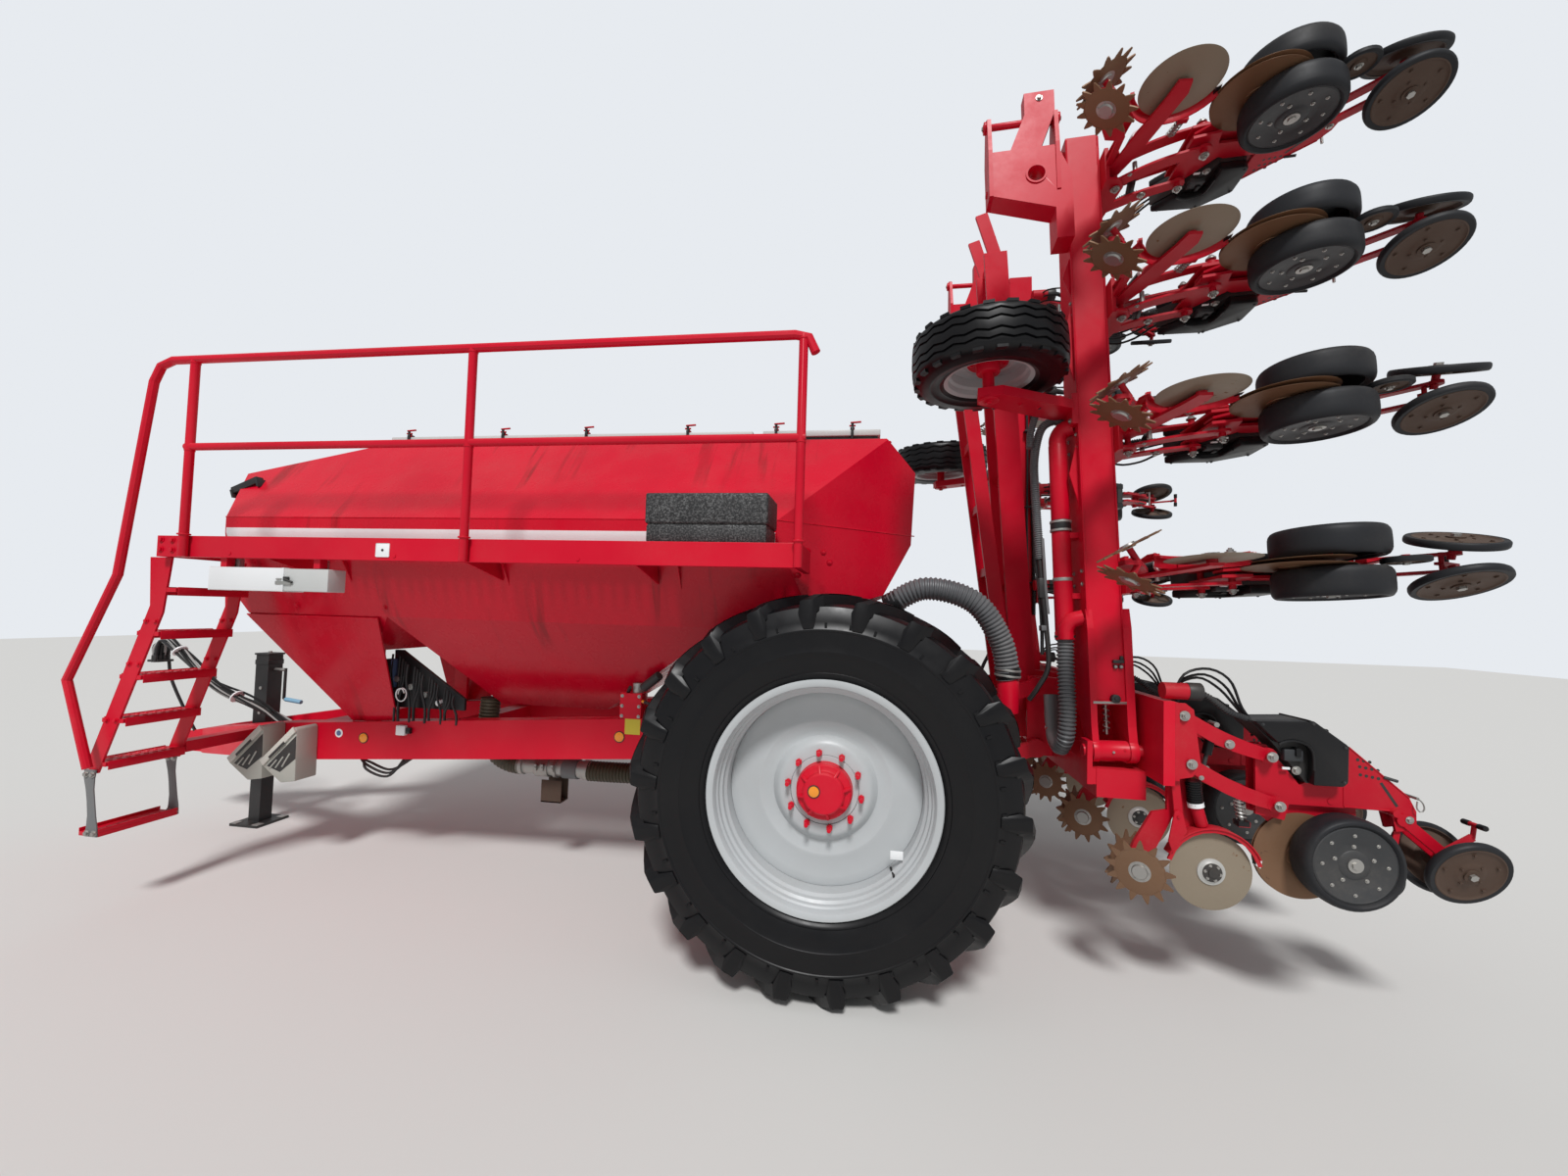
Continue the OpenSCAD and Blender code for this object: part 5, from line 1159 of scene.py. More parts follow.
lids = {"front": {"low": 0.600, "high": 3.300, "latches": (3.150, 2.405, 1.775, 1.045)},
        "rear": {"low": -0.240, "high": 0.530, "latches": (0.440, -0.060)}}
lidShape = {"half": 0.430, "floor": 2.961, "skirt": 3.004, "top": 3.044}
whiteBand = {"x": (0.330, 3.940), "section": [(1.0005, 2.290), (1.0025, 2.290), (1.0025, 2.2605), (0.9855, 2.212),
                                              (0.9835, 2.212), (1.0005, 2.2605)]}
lamp = {"place": (4.055, 0.790, 2.588), "length": 0.215, "depth": 0.052, "height": 0.046, "turn": 0.37}


def atAxle(mesh):
    # These pieces are drawn with x from the axle
    bmesh.ops.transform(mesh, matrix=Matrix.Translation((axle.x, 0, 0)), verts=mesh.verts)
    return mesh


def makeLid(settings, shape):
    mesh = bmesh.new()
    dark, red, black = 1, 2, 3
    low, high, half = settings["low"], settings["high"], shape["half"]
    addBox(mesh, (low, -half, shape["skirt"]), (high, half, shape["top"]), 0.006)
    # Dark inset under the sheet, from the roof up to it: painted shadow under the lid's edge
    addBox(mesh, (low + 0.016, -half + 0.016, shape["floor"]), (high - 0.016, half - 0.016, shape["skirt"] + 0.002),
           0.0, dark)
    panels = 4 if high - low > 1 else 2
    for k in range(1, panels):      # pressed ridges across the sheet
        x = low + (high - low) * k / panels
        addBox(mesh, (x - 0.030, -half + 0.050, shape["top"] - 0.004), (x + 0.030, half - 0.050, shape["top"] + 0.003),
               0.003)
    for x in settings["latches"]:
        addBox(mesh, (x - 0.014, half - 0.030, shape["top"] - 0.002), (x + 0.014, half + 0.002, shape["top"] + 0.014),
               0.002, red)
        addHose(mesh, [(x, half + 0.004, shape["floor"] + 0.002), (x, half + 0.012, shape["top"] - 0.020),
                       (x, half + 0.008, shape["top"] + 0.012), (x, half - 0.012, shape["top"] + 0.018)], 0.009,
                sides=10, index=black, step=0.006)
        addTube(mesh, (x, half + 0.006, shape["top"] + 0.012), (x, half + 0.010, shape["top"] + 0.040), 0.009, 12,
                black)
        addTube(mesh, (x + 0.012, half + 0.010, shape["top"] + 0.040), (x - 0.056, half + 0.012, shape["top"] + 0.044),
                0.0065, 10, red, bevel=0.001)
        addTube(mesh, (x - 0.020, half + 0.004, shape["top"] + 0.022), (x + 0.020, half + 0.004, shape["top"] + 0.022),
                0.006, 10, red)
    for k in range(3):      # hinges on the far edge
        x = low + 0.12 + (high - low - 0.24) * k / 2
        addTube(mesh, (x - 0.045, -half - 0.004, shape["top"] - 0.010),
                (x + 0.045, -half - 0.004, shape["top"] - 0.010), 0.009, 12, red, bevel=0.001)
    return mesh


def makeLamp(settings):
    mesh = bmesh.new()
    black, plastic, glass = range(3)
    reach, depth, height = settings["length"] / 2, settings["depth"] / 2, settings["height"]
    addBox(mesh, (-reach, -depth, 0.0), (reach, depth, height), 0.005, black)
    addBox(mesh, (-reach + 0.010, -depth + 0.006, height - 0.004), (reach - 0.010, depth - 0.006, height + 0.001),
           0.001, plastic)
    for k in range(4):
        x = -reach + settings["length"] * (k + 0.5) / 4
        addLathe(mesh, [(0.0085, height), (0.0150, height + 0.0012), (0.0155, height + 0.0022),
                        (0.0085, height + 0.001)], (x, 0, 0), "Z", 20, glass)
    for x in (-reach - 0.004, reach - 0.010):
        addBox(mesh, (x, -depth - 0.006, -0.030), (x + 0.014, depth + 0.006, height * 0.6), 0.002, black)
    bmesh.ops.transform(mesh, matrix=Matrix.Translation(settings["place"]) @ Matrix.Rotation(settings["turn"], 4, "Y"),
                        verts=mesh.verts)
    return mesh


def wallPoint(x, z, lift=0.0):
    # On the slanted wall below the band; lift is the distance from it
    lean = math.atan2(0.180, 0.520)
    y = 1.0 - (2.260 - z) * math.tan(lean)
    return Vector((x, y + lift * math.cos(lean), z - lift * math.sin(lean)))


def makeHopperTrim():
    mesh = bmesh.new()
    red, white = range(2)
    addPlate(mesh, whiteBand["section"], whiteBand["x"][0], whiteBand["x"][1] - whiteBand["x"][0], white, axis="X")
    out = wallPoint(0, 2.0, 1) - wallPoint(0, 2.0)
    for x, z in ((0.149, 2.190), (0.026, 2.130), (0.060, 2.185), (0.205, 2.060), (2.90, 1.80), (3.55, 1.80)):
        addBolt(mesh, wallPoint(x, z), out, 0.020, red)
    for x in (0.900, 2.000, 3.100):     # ribs between the wall and the deck
        addPlate(mesh, [wallPoint(x, 2.150, 0.001).yz, wallPoint(x, 1.960, 0.001).yz, (0.990, 2.110)], x - 0.005,
                 0.010, red, axis="X")
    # Welded seams along the fold: on the side and round its front and rear corners
    for a, b in (((0.320, 1.0, 2.3605), (3.950, 1.0, 2.3605)), ((3.950, 1.0, 2.36), (4.250, 0.600, 2.36)),
                 ((0.320, 1.0, 2.36), (-0.470, 0.360, 2.36))):
        addTube(mesh, a, b, 0.0035, 8, red)
    for x in (-0.245, -0.300):
        addBolt(mesh, (x, 0.440, 2.9605 if x > -0.28 else 2.952), (0, 0, 1), 0.014, red)
    return mesh


finishes["lampGlass"] = weathered("lampGlass", (0.70, 0.72, 0.74), 0.2, 0.0, 0.12, coat=0.4)
for name, settings in lids.items():
    finishPiece("lid_sheet_" + name, atAxle(makeLid(settings, lidShape)),
                ["paleGrey", "darkIronAndShade", "workedRed", "blackPaintAndShade"], "lid_" + name, ["lid_" + name])
finishPiece("hopper_trim", bothSides(atAxle(makeHopperTrim())), ["hopperRed", "whitePlate"], "chassis")
finishPiece("work_lamps", bothSides(atAxle(makeLamp(lamp))), ["blackPaintAndShade", "plasticBlack", "lampGlass"], "chassis")
print("hopper dressed")


# Platform: boxes on it and under it, its edge and the ladder

documentBox = {"x": (2.710, 3.470), "y": (1.320, 1.440), "z": (1.880, 2.010), "split": 2.985}
toolBox = {"x": (0.300, 0.930), "y": (1.130, 1.415), "z": (2.1805, 2.430), "seam": 2.272}
ladder = {"outer": 1.402, "bolts": (1.690, 1.440, 1.110), "straps": (1.004, 1.404)}
# Outline of a strap that carries the bottom step: height, rear x, front x
strapSides = [(0.822, 4.188, 4.272), (0.770, 4.196, 4.270), (0.710, 4.196, 4.252), (0.640, 4.184, 4.238),
              (0.560, 4.170, 4.228), (0.500, 4.156, 4.230), (0.442, 4.150, 4.238)]


def makeDocumentBox(settings):
    mesh = bmesh.new()
    zinc, black, pale = 1, 2, 3
    (x0, x1), (y0, y1), (z0, z1), split = settings["x"], settings["y"], settings["z"], settings["split"]
    addBox(mesh, (split, y0, z0), (x1, y1, z1), 0.006)
    addBox(mesh, (x0, y0 + 0.004, z0 + 0.003), (split + 0.01, y1 - 0.005, z1 - 0.003), 0.005, pale)
    addBox(mesh, (split - 0.002, y0 - 0.001, z0 - 0.001), (split + 0.012, y1 + 0.002, z1 + 0.001), 0.002)
    addBox(mesh, (x1 - 0.010, y0 - 0.001, z0 - 0.001), (x1, y1 + 0.001, z1 + 0.001), 0.002)
    addBox(mesh, (split - 0.050, y1 - 0.006, 1.918), (split + 0.048, y1 + 0.004, 1.938), 0.002, zinc)
    addBox(mesh, (split - 0.036, y1 - 0.004, 1.940), (split - 0.004, y1 + 0.007, 1.962), 0.002, black)
    addTube(mesh, (split - 0.060, y1 + 0.003, 1.932), (split - 0.016, y1 + 0.007, 1.948), 0.006, 10, black)
    addTube(mesh, (split + 0.006, y1 + 0.002, 1.948), (split + 0.040, y1 + 0.002, 1.948), 0.005, 10, zinc)
    for x in (x0 + 0.10, x1 - 0.10):
        addBox(mesh, (x - 0.020, y0 + 0.030, z1 - 0.001), (x + 0.020, y0 + 0.060, z1 + 0.050), 0.002, zinc)
    return mesh


def makeToolBox(settings):
    mesh = bmesh.new()
    black = 1
    (x0, x1), (y0, y1), (z0, z1), seam = settings["x"], settings["y"], settings["z"], settings["seam"]
    addBox(mesh, (x0 + 0.006, y0 + 0.006, z0), (x1 - 0.006, y1 - 0.006, seam), 0.010)
    addBox(mesh, (x0, y0, seam + 0.003), (x1, y1, z1), 0.012, segments=3)
    addBox(mesh, (x0 + 0.012, y0 + 0.012, seam - 0.004), (x1 - 0.012, y1 - 0.012, seam + 0.006))
    addBox(mesh, (x0 + 0.03, y0 + 0.03, z1 - 0.002), (x1 - 0.03, y1 - 0.03, z1 + 0.003), 0.003)
    for x in (x0 + 0.12, x1 - 0.12):
        addBox(mesh, (x - 0.020, y0 - 0.004, seam - 0.040), (x + 0.020, y0 + 0.010, seam + 0.045), 0.003, black)
    return mesh


def makeDeckTrim():
    mesh = bmesh.new()
    red, white, black = range(3)
    for x, z in ((3.715, 2.155), (3.790, 2.158), (3.712, 2.100), (3.790, 2.102)):
        addBolt(mesh, (x, 1.450, z), (0, 1, 0), 0.020, red)
    addBox(mesh, (2.328, 1.4495, 2.078), (2.409, 1.4540, 2.152), 0.006, white)
    addTube(mesh, (2.368, 1.4535, 2.115), (2.368, 1.4560, 2.115), 0.007, 12, black)
    for x in (0.135, 1.260, 2.300, 3.330):
        addTube(mesh, (x, 1.4505, 2.085), (x, 1.4535, 2.085), 0.010, 12, red)
    for x in (3.610, 1.880, 0.140):     # feet of the posts and joints of the rails
        addTube(mesh, (x, 1.473, 2.1815), (x, 1.473, 2.1900), 0.030, 20, red, bevel=0.002)
        for z in (2.680, 3.180):
            addTube(mesh, (x, 1.473, z - 0.024), (x, 1.473, z - 0.018), 0.0245, 20, red)
    return mesh


def makeLadderTrim(settings):
    mesh = bmesh.new()
    for y in (settings["outer"], settings["outer"] - 0.400):
        for z in settings["bolts"]:
            left, right = 3.820 + (1.740 - z) * 0.3936, 3.910 + (1.780 - z) * 0.3895
            for x in (left + 0.020, right - 0.020):
                addBolt(mesh, (x, y, z), (0, 1, 0), 0.017, 0)
    for i in range(5):      # folded lips and round holes on the treads
        x, z = 4.140 - 0.100 * i, 0.840 + 0.255 * i
        addBox(mesh, (x - 0.004, 1.003, z - 0.020), (x, 1.389, z + 0.030), 0.001, 0)
        addBox(mesh, (x + 0.150, 1.003, z - 0.020), (x + 0.154, 1.389, z + 0.030), 0.001, 0)
        for across in range(8):
            for along in range(2):
                addTube(mesh, (x + 0.045 + 0.060 * along, 1.045 + 0.044 * across, z + 0.0248),
                        (x + 0.045 + 0.060 * along, 1.045 + 0.044 * across, z + 0.0290), 0.013, 12, 0,
                        endRadius=0.010)
    return mesh


def makeLowerStep(settings):
    mesh = bmesh.new()
    red, strap, steel = range(3)
    outline = [(low, z) for z, low, _ in strapSides] + [(high, z) for z, _, high in reversed(strapSides)]
    for y in settings["straps"]:
        addPlate(mesh, outline, y + 0.0005, 0.007, strap, 0.002)
        for x in (4.208, 4.252):
            addBolt(mesh, (x, y + 0.0075, 0.795), (0, 1, 0), 0.020, steel)
        for x in (4.168, 4.218):
            addBolt(mesh, (x, y + 0.0075, 0.462), (0, 1, 0), 0.020, steel)
    addBox(mesh, (4.150, 1.012, 0.440), (4.290, 1.404, 0.465), 0.003, red)
    addBox(mesh, (4.150, 1.012, 0.464), (4.156, 1.404, 0.485), 0.002, red)
    addBox(mesh, (4.284, 1.012, 0.464), (4.290, 1.404, 0.485), 0.002, red)
    for across in range(7):
        addTube(mesh, (4.220, 1.050 + 0.052 * across, 0.4645), (4.220, 1.050 + 0.052 * across, 0.4690), 0.016, 12, red,
                endRadius=0.012)
    return mesh


finishes["speckled"] = speckledPlastic("speckled", (0.012, 0.012, 0.013), (0.15, 0.15, 0.15), 110)
finishes["strapGrey"] = weathered("strapGrey", (0.16, 0.165, 0.17), 0.6, 0.3, 0.5)
finishPiece("document_case", atAxle(makeDocumentBox(documentBox)),
            ["whitePlate", "galvanised", "blackPaintAndShade", "paleGrey"], "chassis", ["document_box"])
finishPiece("tool_case", atAxle(makeToolBox(toolBox)), ["speckled", "blackPaintAndShade"], "chassis", ["tool_box"])
finishPiece("deck_trim", atAxle(makeDeckTrim()), ["frameRed", "whitePlate", "blackPaintAndShade"], "chassis")
finishPiece("ladder_trim", atAxle(makeLadderTrim(ladder)), ["frameRed"], "chassis")
finishPiece("lower_step", atAxle(makeLowerStep(ladder)), ["frameRed", "strapGrey", "brightSteel"], "chassis",
            ["bottom_step"])
print("platform dressed")


# Front and frame: wheel chocks, jack, leads, reflectors, and the two big air hoses

chocks = {"starts": (3.640, 3.905), "y": (0.5455, 0.7050),
          "outline": [(0.276, 0.725), (0.028, 0.965), (0.008, 0.950), (0.000, 0.600), (0.112, 0.582), (0.270, 0.690)],
          "band": [(0.276, 0.727), (0.030, 0.967), (0.008, 0.935), (0.248, 0.692)],
          "slot": [(0.206, 0.757), (0.196, 0.742), (0.082, 0.853), (0.092, 0.868)],
          "shade": [(0.226, 0.690), (0.010, 0.905), (0.006, 0.750), (0.120, 0.655)]}
leads = {"count": 14, "spread": 0.030, "radius": 0.0085, "turn": 2.4,
         "route": [(4.300, 0.120, 0.790), (4.430, 0.130, 0.865), (4.560, 0.160, 0.950), (4.700, 0.210, 1.030),
                   (4.840, 0.250, 1.105), (4.960, 0.270, 1.180), (5.090, 0.270, 1.280), (5.250, 0.260, 1.395),
                   (5.400, 0.250, 1.480), (5.460, 0.250, 1.440), (5.470, 0.250, 1.340)]}
underHose = {"radius": 0.069, "rib": 0.024, "depth": 0.006,
             "route": [(2.500, 0.290, 1.165), (2.500, 0.290, 0.900), (2.380, 0.290, 0.740), (2.100, 0.290, 0.700),
                       (1.400, 0.290, 0.700), (1.000, 0.290, 0.740), (0.770, 0.290, 0.815)]}
mainHose = {"radius": 0.069, "rib": 0.024, "depth": 0.007,
            "route": [(-0.300, 0.600, 1.900), (-0.520, 0.650, 2.010), (-0.800, 0.650, 1.940), (-0.960, 0.620, 1.720),
                      (-1.010, 0.600, 1.500)]}


def makeChocks(settings):
    mesh = bmesh.new()
    low, high = settings["y"]
    for start in settings["starts"]:
        # Flat plates in three tones: the band is lighter, painted light on the chock's lit top; the slot is a black
        # sheet, painted shade in the opening; the shade outline is a dark sheet, painted shade on the end face
        for part, floor, thick, index, bevel in (("outline", low, high - low, 0, 0.008),
                                                 ("band", high - 0.002, 0.014, 3, 0.003),
                                                 ("slot", high + 0.0105, 0.002, 1, 0.0),
                                                 ("shade", high - 0.001, 0.002, 2, 0.0)):
            addPlate(mesh, [(start + x, z) for x, z in settings[part]], floor, thick, index, bevel)
        for k in range(3):      # pressed ribs under the slot
            addTube(mesh, (start + 0.205 - 0.050 * k, high + 0.001, 0.672 + 0.010 * k),
                    (start + 0.150 - 0.050 * k, high + 0.001, 0.735 + 0.025 * k), 0.005, 8, 0, bevel=0.001)
    addBox(mesh, (3.690, low - 0.001, 0.590), (4.110, low + 0.012, 0.640), 0.003, 2)
    return mesh


def makeJackTrim():
    mesh = bmesh.new()
    black, steel, blue = range(3)
    addBox(mesh, (4.650, -0.070, 1.368), (4.790, 0.070, 1.384), 0.005, black)
    addBolt(mesh, (4.720, 0.0, 1.384), (0, 0, 1), 0.022, steel)
    for z in (0.470, 1.310):
        addBox(mesh, (4.655, -0.065, z - 0.020), (4.785, 0.065, z + 0.020), 0.004, black)
    addTube(mesh, (4.662, 0.0, 1.250), (4.560, 0.0, 1.250), 0.013, 16, steel, bevel=0.001)
    addTube(mesh, (4.562, 0.0, 1.262), (4.562, 0.0, 1.010), 0.011, 16, black, bevel=0.001)
    addTube(mesh, (4.560, 0.0, 1.010), (4.470, 0.0, 1.000), 0.010, 16, steel)
    addTube(mesh, (4.545, 0.0, 1.008), (4.395, 0.0, 0.992), 0.017, 20, blue, bevel=0.004)
    for z in (0.700, 0.900, 1.100):
        addTube(mesh, (4.720, 0.0595, z), (4.720, 0.0640, z), 0.013, 16, steel)
    return mesh


def makeJackFoot():
    mesh = bmesh.new()
    zinc, black = range(2)
    for x, y in ((-0.100, 0.100), (0.100, 0.100), (-0.100, -0.100), (0.100, -0.100)):
        addBox(mesh, (4.720 + x - 0.028, y - 0.028, 0.0195), (4.720 + x + 0.028, y + 0.028, 0.0240), 0.002, zinc)
    for face in (1, -1):        # weld round the leg
        addTube(mesh, (4.671, face * 0.0515, 0.0205), (4.769, face * 0.0515, 0.0205), 0.0035, 8, black)
    return mesh


def makeLeads(settings):
    mesh = bmesh.new()
    coupling, white = 3, 4
    for k in range(settings["count"]):
        turn = settings["turn"] * k
        reach = settings["spread"] * (0.35 + 0.65 * ((k * 5) % 7) / 6)
        route = []
        for i, (x, y, z) in enumerate(settings["route"]):
            wide = 1.0 + 0.6 * math.sin(i * 1.1 + k)
            route.append((x, y + reach * wide * math.cos(turn + 0.3 * i), z + reach * wide * math.sin(turn + 0.3 * i)))
        x, y = 5.430 + 0.020 * (k % 4), 0.215 + 0.028 * (k // 4)
        route[-2:] = [(x - 0.005, y, 1.420 + 0.008 * (k % 3)), (x, y, 1.330)]
        addHose(mesh, route, settings["radius"] * (1.15 if k % 4 == 0 else 1), sides=8, index=k % 3, step=0.020)
        addTube(mesh, (x, y, 1.300), (x, y, 1.352), 0.013, 12, coupling, bevel=0.001)
        addTube(mesh, (x, y, 1.352), (x, y, 1.374), 0.011, 6, coupling)
    for x, z, turn in ((4.740, 1.052, 1.06), (4.960, 1.180, 0.94), (5.250, 1.395, 0.87)):     # white ties
        middle = Vector((x, 0.265 if x > 4.8 else 0.222, z))
        along = Vector((math.sin(turn), 0, math.cos(turn)))
        addTube(mesh, middle - along * 0.005, middle + along * 0.005, 0.050, 20, white)
    # Holder of the couplings and its post on the drawbar
    addBox(mesh, (5.405, 0.190, 1.300), (5.510, 0.300, 1.318), 0.003, coupling)
    addHose(mesh, [(5.300, 0.070, 0.700), (5.320, 0.150, 0.900), (5.400, 0.200, 1.150), (5.440, 0.200, 1.305)], 0.011,
            sides=12, index=coupling, step=0.030)
    return mesh


def makeFrameFittings():
    mesh = bmesh.new()
    amber, hose, white, yellow, red, blue, zinc, rust = range(8)
    face = 0.5452
    for x, z in ((3.282, 0.882), (1.398, 1.002)):
        addLathe(mesh, [(0.0005, 0.009), (0.020, 0.0085), (0.031, 0.005), (0.033, 0.000), (0.0005, 0.000)],
                 (x, face, z), "Y", 28, amber)
        addTube(mesh, (x, face, z), (x, face + 0.003, z), 0.037, 28, hose)
    addTube(mesh, (3.479, face, 0.904), (3.479, face + 0.002, 0.904), 0.030, 28, white)
    addTube(mesh, (3.479, face, 0.904), (3.479, face + 0.003, 0.904), 0.018, 24, blue)
    addBox(mesh, (1.258, face, 1.023), (1.363, face + 0.0015, 1.128), 0.0, yellow)
    addBox(mesh, (2.940, face, 0.922), (3.010, face + 0.030, 0.990), 0.006, white)
    addTube(mesh, (2.925, face + 0.018, 0.952), (2.905, face + 0.018, 0.950), 0.012, 12, hose)
    addBox(mesh, (2.905, face, 0.935), (2.942, face + 0.022, 0.975), 0.004, hose)
    # Bolted box on the rail, with the can over it
    addBox(mesh, (1.256, 0.440, 1.122), (1.403, 0.548, 1.288), 0.003, red)
    for x in (1.272, 1.387):
        for z in (1.140, 1.205, 1.270):
            addBolt(mesh, (x, 0.548, z), (0, 1, 0), 0.012, zinc)
    addTube(mesh, (1.300, 0.500, 1.288), (1.300, 0.500, 1.352), 0.034, 24, zinc, bevel=0.004)
    addTube(mesh, (1.360, 0.520, 1.290), (1.330, 0.560, 1.330), 0.012, 12, hose)
    addTube(mesh, (1.240, 0.560, 1.330), (1.120, 0.600, 1.420), 0.030, 20, hose, bevel=0.004)
    addHose(mesh, [(1.250, 0.545, 1.240), (1.170, 0.580, 1.235), (1.120, 0.570, 1.280), (1.090, 0.540, 1.370)], 0.009,
            sides=10, index=hose, step=0.02)
    # Valves and leads between the funnels
    # A dark sheet behind the valves and leads: painted shade between the funnels
    addPlate(mesh, [(3.120, 1.100), (3.120, 1.500), (3.060, 1.500), (2.560, 1.180), (2.560, 1.100)], 0.470, 0.020,
             hose)
    for k in range(17):
        x, y, top = 3.085 - 0.030 * k, 0.545 - 0.010 * ((k * 3) % 4), 1.475 - 0.017 * k
        foot = x - 0.030 + 0.022 * ((k * 5) % 4)
        addHose(mesh, [(x, y, top), (x - 0.004, y + 0.012, top * 0.65 + 0.37), (foot, y + 0.004, top * 0.3 + 0.72),
                       (foot, y, 1.010)], 0.0070 + 0.001 * (k % 3), sides=8, index=hose, step=0.025)
    for k in range(4):
        addTube(mesh, (3.060 - 0.11 * k, 0.490, 1.300 - 0.05 * k), (3.060 - 0.11 * k, 0.535, 1.300 - 0.05 * k), 0.022,
                12, zinc, bevel=0.003)
    coil = [(2.960 + 0.036 * math.cos(t * 0.7), 0.585 + 0.002 * t, 1.205 + 0.044 * math.sin(t * 0.7))
            for t in range(14)]
    addHose(mesh, coil, 0.004, sides=8, index=white, step=0.012)
    addBox(mesh, (3.080, 0.500, 1.240), (3.135, 0.560, 1.440), 0.006, blue)
    # Loops under the rail, and brake pipes along it
    for k in range(3):
        addHose(mesh, [(3.440 - 0.05 * k, 0.460, 0.735), (3.300, 0.470 + 0.012 * k, 0.700 - 0.022 * k),
                       (3.120, 0.470 + 0.012 * k, 0.655 - 0.020 * k), (2.960 + 0.03 * k, 0.460, 0.745)], 0.0085,
                sides=8, index=hose, step=0.025)
    for y, z in ((0.420, 0.985), (0.408, 0.960)):
        addTube(mesh, (0.200, y + 0.012, z + 0.170), (3.800, y + 0.012, z - 0.060), 0.006, 8, hose)
    # Rusty bracket that carries the pipe under the frame
    addBox(mesh, (1.900, 0.240, 0.470), (2.050, 0.246, 0.625), 0.001, rust)
    addBox(mesh, (1.900, 0.334, 0.470), (2.050, 0.340, 0.625), 0.001, rust)
    addBox(mesh, (1.900, 0.240, 0.470), (2.050, 0.340, 0.480), 0.001, rust)
    return mesh


def makeUnderHose(settings):
    mesh = bmesh.new()
    zinc, steel = 1, 2
    route, radius = settings["route"], settings["radius"]
    points = smoothRoute(route, 0.030)
    ahead = [tuple(point) for point in points if point.x > 2.215]
    behind = [tuple(point) for point in points if point.x < 1.740]
    for part in (ahead, behind):
        addHose(mesh, part[::2] + [part[-1]], radius, ribs=settings["rib"], depth=settings["depth"], sides=20)
    addTube(mesh, (2.240, 0.290, 0.708), (1.700, 0.290, 0.700), radius - 0.010, 32, zinc, bevel=0.003)
    for x, reach, index in ((2.225, 0.020, 1), (2.060, 0.050, 2), (1.960, 0.012, 2), (1.850, 0.055, 3),
                            (1.735, 0.020, 1)):
        z = 0.700 + max(0.0, (x - 2.0) * 0.03)
        addTube(mesh, (x - reach, 0.290, z), (x + reach, 0.290, z), radius - 0.001, 32, index, bevel=0.002)
    for x in (2.085, 2.035, 1.960):
        addBox(mesh, (x - 0.010, 0.350, 0.690), (x + 0.010, 0.374, 0.738), 0.002, steel)
        addBolt(mesh, (x, 0.372, 0.714), (0, 1, 0), 0.012, steel)
    return mesh


def makeMainHose(settings):
    mesh = bmesh.new()
    plastic, zinc, red = 1, 2, 3
    route, radius = settings["route"], settings["radius"]
    addHose(mesh, route, radius, ribs=settings["rib"], depth=settings["depth"], sides=22)
    start = (Vector(route[0]), Vector(route[0]).lerp(Vector(route[1]), 0.34))
    addTube(mesh, start[0], start[1], radius + 0.002, 32, plastic, bevel=0.003)
    addTube(mesh, (-1.004, 0.602, 1.560), (-1.010, 0.600, 1.500), radius + 0.002, 32, plastic, bevel=0.003)
    for z in (1.548, 1.515):
        addTube(mesh, (-1.006, 0.601, z - 0.006), (-1.007, 0.601, z + 0.006), radius + 0.0055, 32, zinc, bevel=0.001)
    addTube(mesh, (-1.010, 0.600, 1.510), (-1.010, 0.600, 1.300), radius - 0.008, 32, red, bevel=0.003)
    return mesh


finishes["cablePale"] = weathered("cablePale", (0.34, 0.34, 0.33), 0.5, 0.0, 0.45)
finishes["gripBlue"] = weathered("gripBlue", (0.22, 0.45, 0.62), 0.3, 0.1, 0.35)
finishes["plateYellow"] = weathered("plateYellow", (0.62, 0.50, 0.03), 0.25, 0.05, 0.35)
finishes["plateBlue"] = weathered("plateBlue", (0.10, 0.16, 0.32), 0.3, 0.05, 0.35)
finishes["hoseOlive"] = weathered("hoseOlive", (0.060, 0.050, 0.028), 0.5, 0.0, 0.5, dustColor=(0.22, 0.18, 0.11, 1))
finishes["chockGrey"] = weathered("chockGrey", (0.40, 0.40, 0.36), 0.8, 0.45, 0.6, chipColor=(0.16, 0.12, 0.08, 1))
# Lighter than chockGrey: painted light on the chocks' lit tops
finishes["chockTopPaintedLight"] = weathered("chockTopPaintedLight", (0.55, 0.54, 0.49), 0.5, 0.3, 0.5)
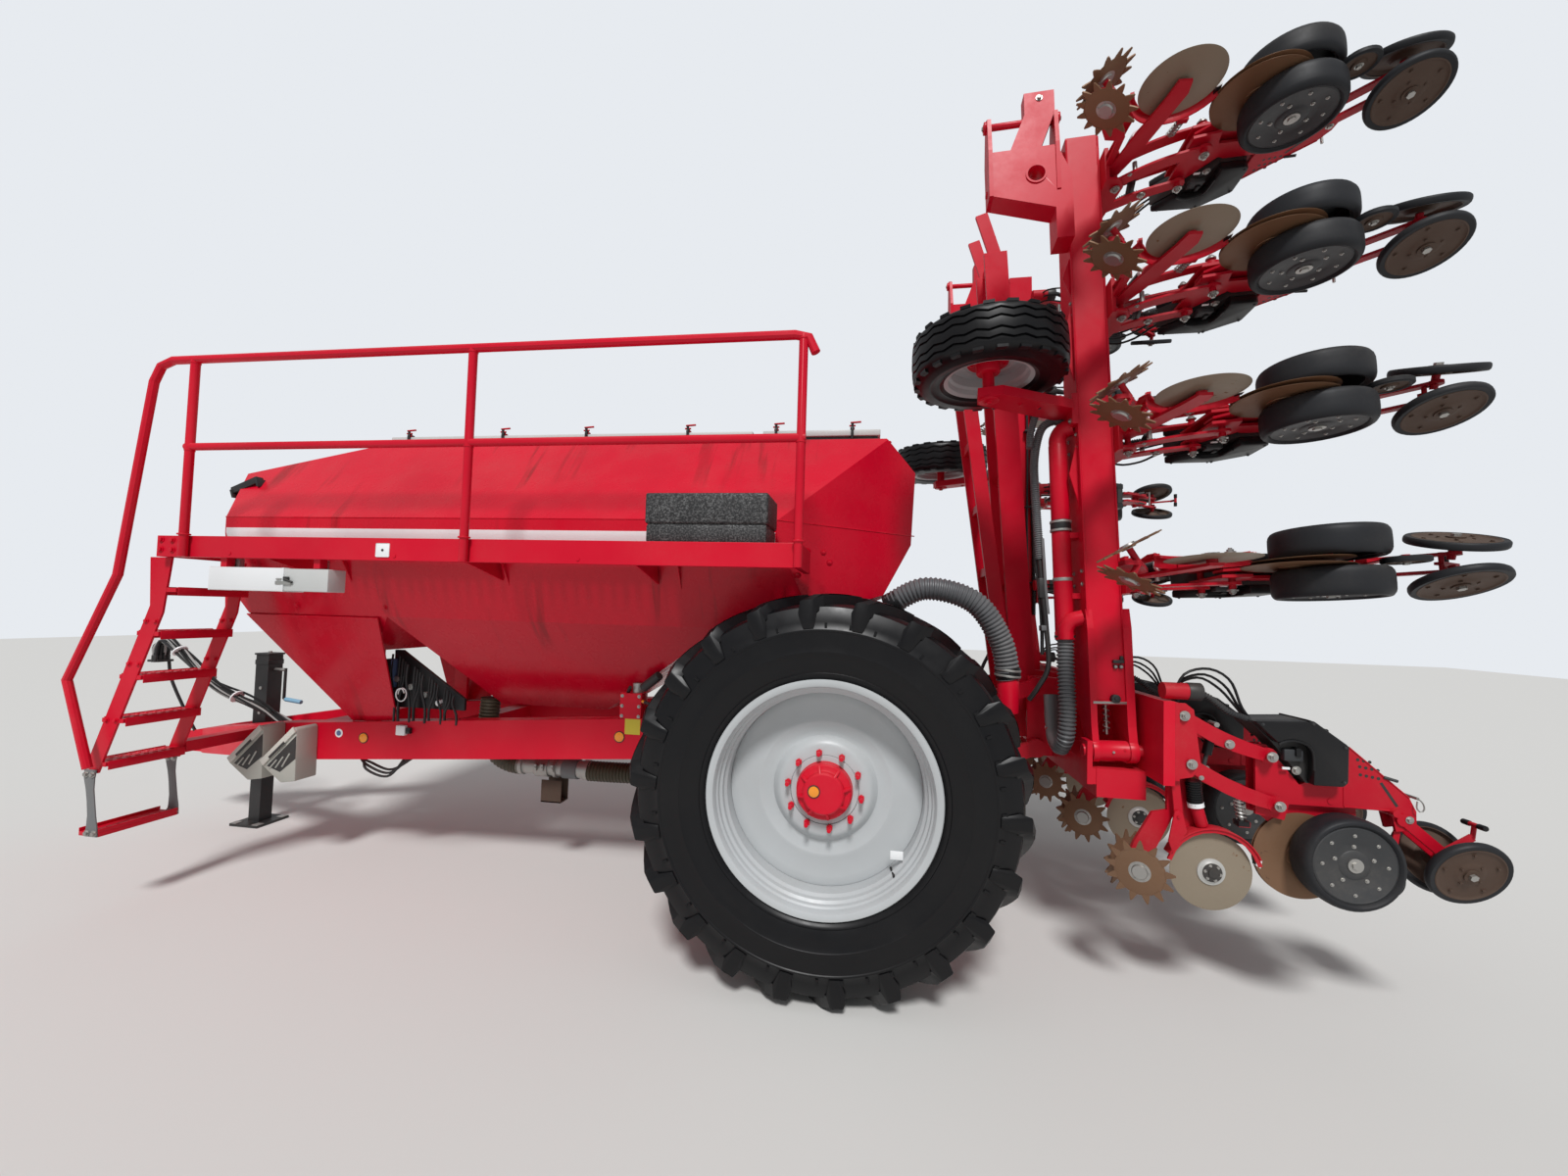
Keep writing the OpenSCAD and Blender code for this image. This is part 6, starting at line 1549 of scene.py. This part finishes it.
finishPiece("chock_pair", atAxle(makeChocks(chocks)), ["chockGrey", "blackPaintAndShade", "darkIronAndShade", "chockTopPaintedLight"],
            "chassis", ["wheel_chocks"])
finishPiece("jack_crank", atAxle(makeJackTrim()), ["blackPaintAndShade", "brightSteel", "gripBlue"], "chassis")
finishPiece("jack_foot", atAxle(makeJackFoot()), ["galvanised", "blackPaintAndShade", "darkIronAndShade"], "jack_leg")
finishPiece("supply_leads", atAxle(makeLeads(leads)),
            ["hoseBlackAndShade", "cablePale", "plasticBlack", "blackPaintAndShade", "whitePlate"], "chassis")
finishPiece("frame_fittings", atAxle(makeFrameFittings()),
            ["amberLens", "hoseBlackAndShade", "whitePlate", "plateYellow", "frameRed", "plateBlue", "galvanised", "rustIron"],
            "chassis")
finishPiece("lower_air_hose", atAxle(makeUnderHose(underHose)),
            ["hoseOlive", "galvanised", "brightSteel", "strapGrey"], "chassis", ["under_hose"])
finishPiece("upper_air_hose", atAxle(makeMainHose(mainHose)), ["hoseGrey", "plasticBlack", "galvanised", "frameRed"],
            "chassis", ["main_hose"])
print("front and frame dressed")


# Rear: the bolts of the mast, and soft edges on the plain CAD solids

softEdges = {"width": 0.0025, "angle": math.radians(38), "merge": 0.00002}
mastBolts = {"places": ((-1.190, 1.420), (-1.120, 1.420), (-1.185, 1.560), (-1.115, 1.560)), "y": 0.150,
             "size": 0.020}


def makeMastTrim(settings):
    mesh = bmesh.new()
    for face in (1, -1):
        for x, z in settings["places"]:
            addBolt(mesh, (x, face * settings["y"], z), (0, face, 0), settings["size"])
    return mesh


def softenEdges(settings):
    for name, node in frame["nodes"].items():
        stem = next((key for key in nodeFinish if name.startswith(key)), None)
        if name.startswith("unit_") or (stem and nodeFinish[stem] not in ("hopperRed", "frameRed")):
            continue
        weld = node.modifiers.new("weld", "WELD")
        weld.merge_threshold = settings["merge"]
        bevel = node.modifiers.new("softEdge", "BEVEL")
        bevel.width = settings["width"]
        bevel.segments = 2
        bevel.limit_method = "ANGLE"
        bevel.angle_limit = settings["angle"]
        bevel.use_clamp_overlap = True


finishPiece("mast_trim", atAxle(makeMastTrim(mastBolts)), ["frameRed"], "chassis")
softenEdges(softEdges)
print("rear dressed")
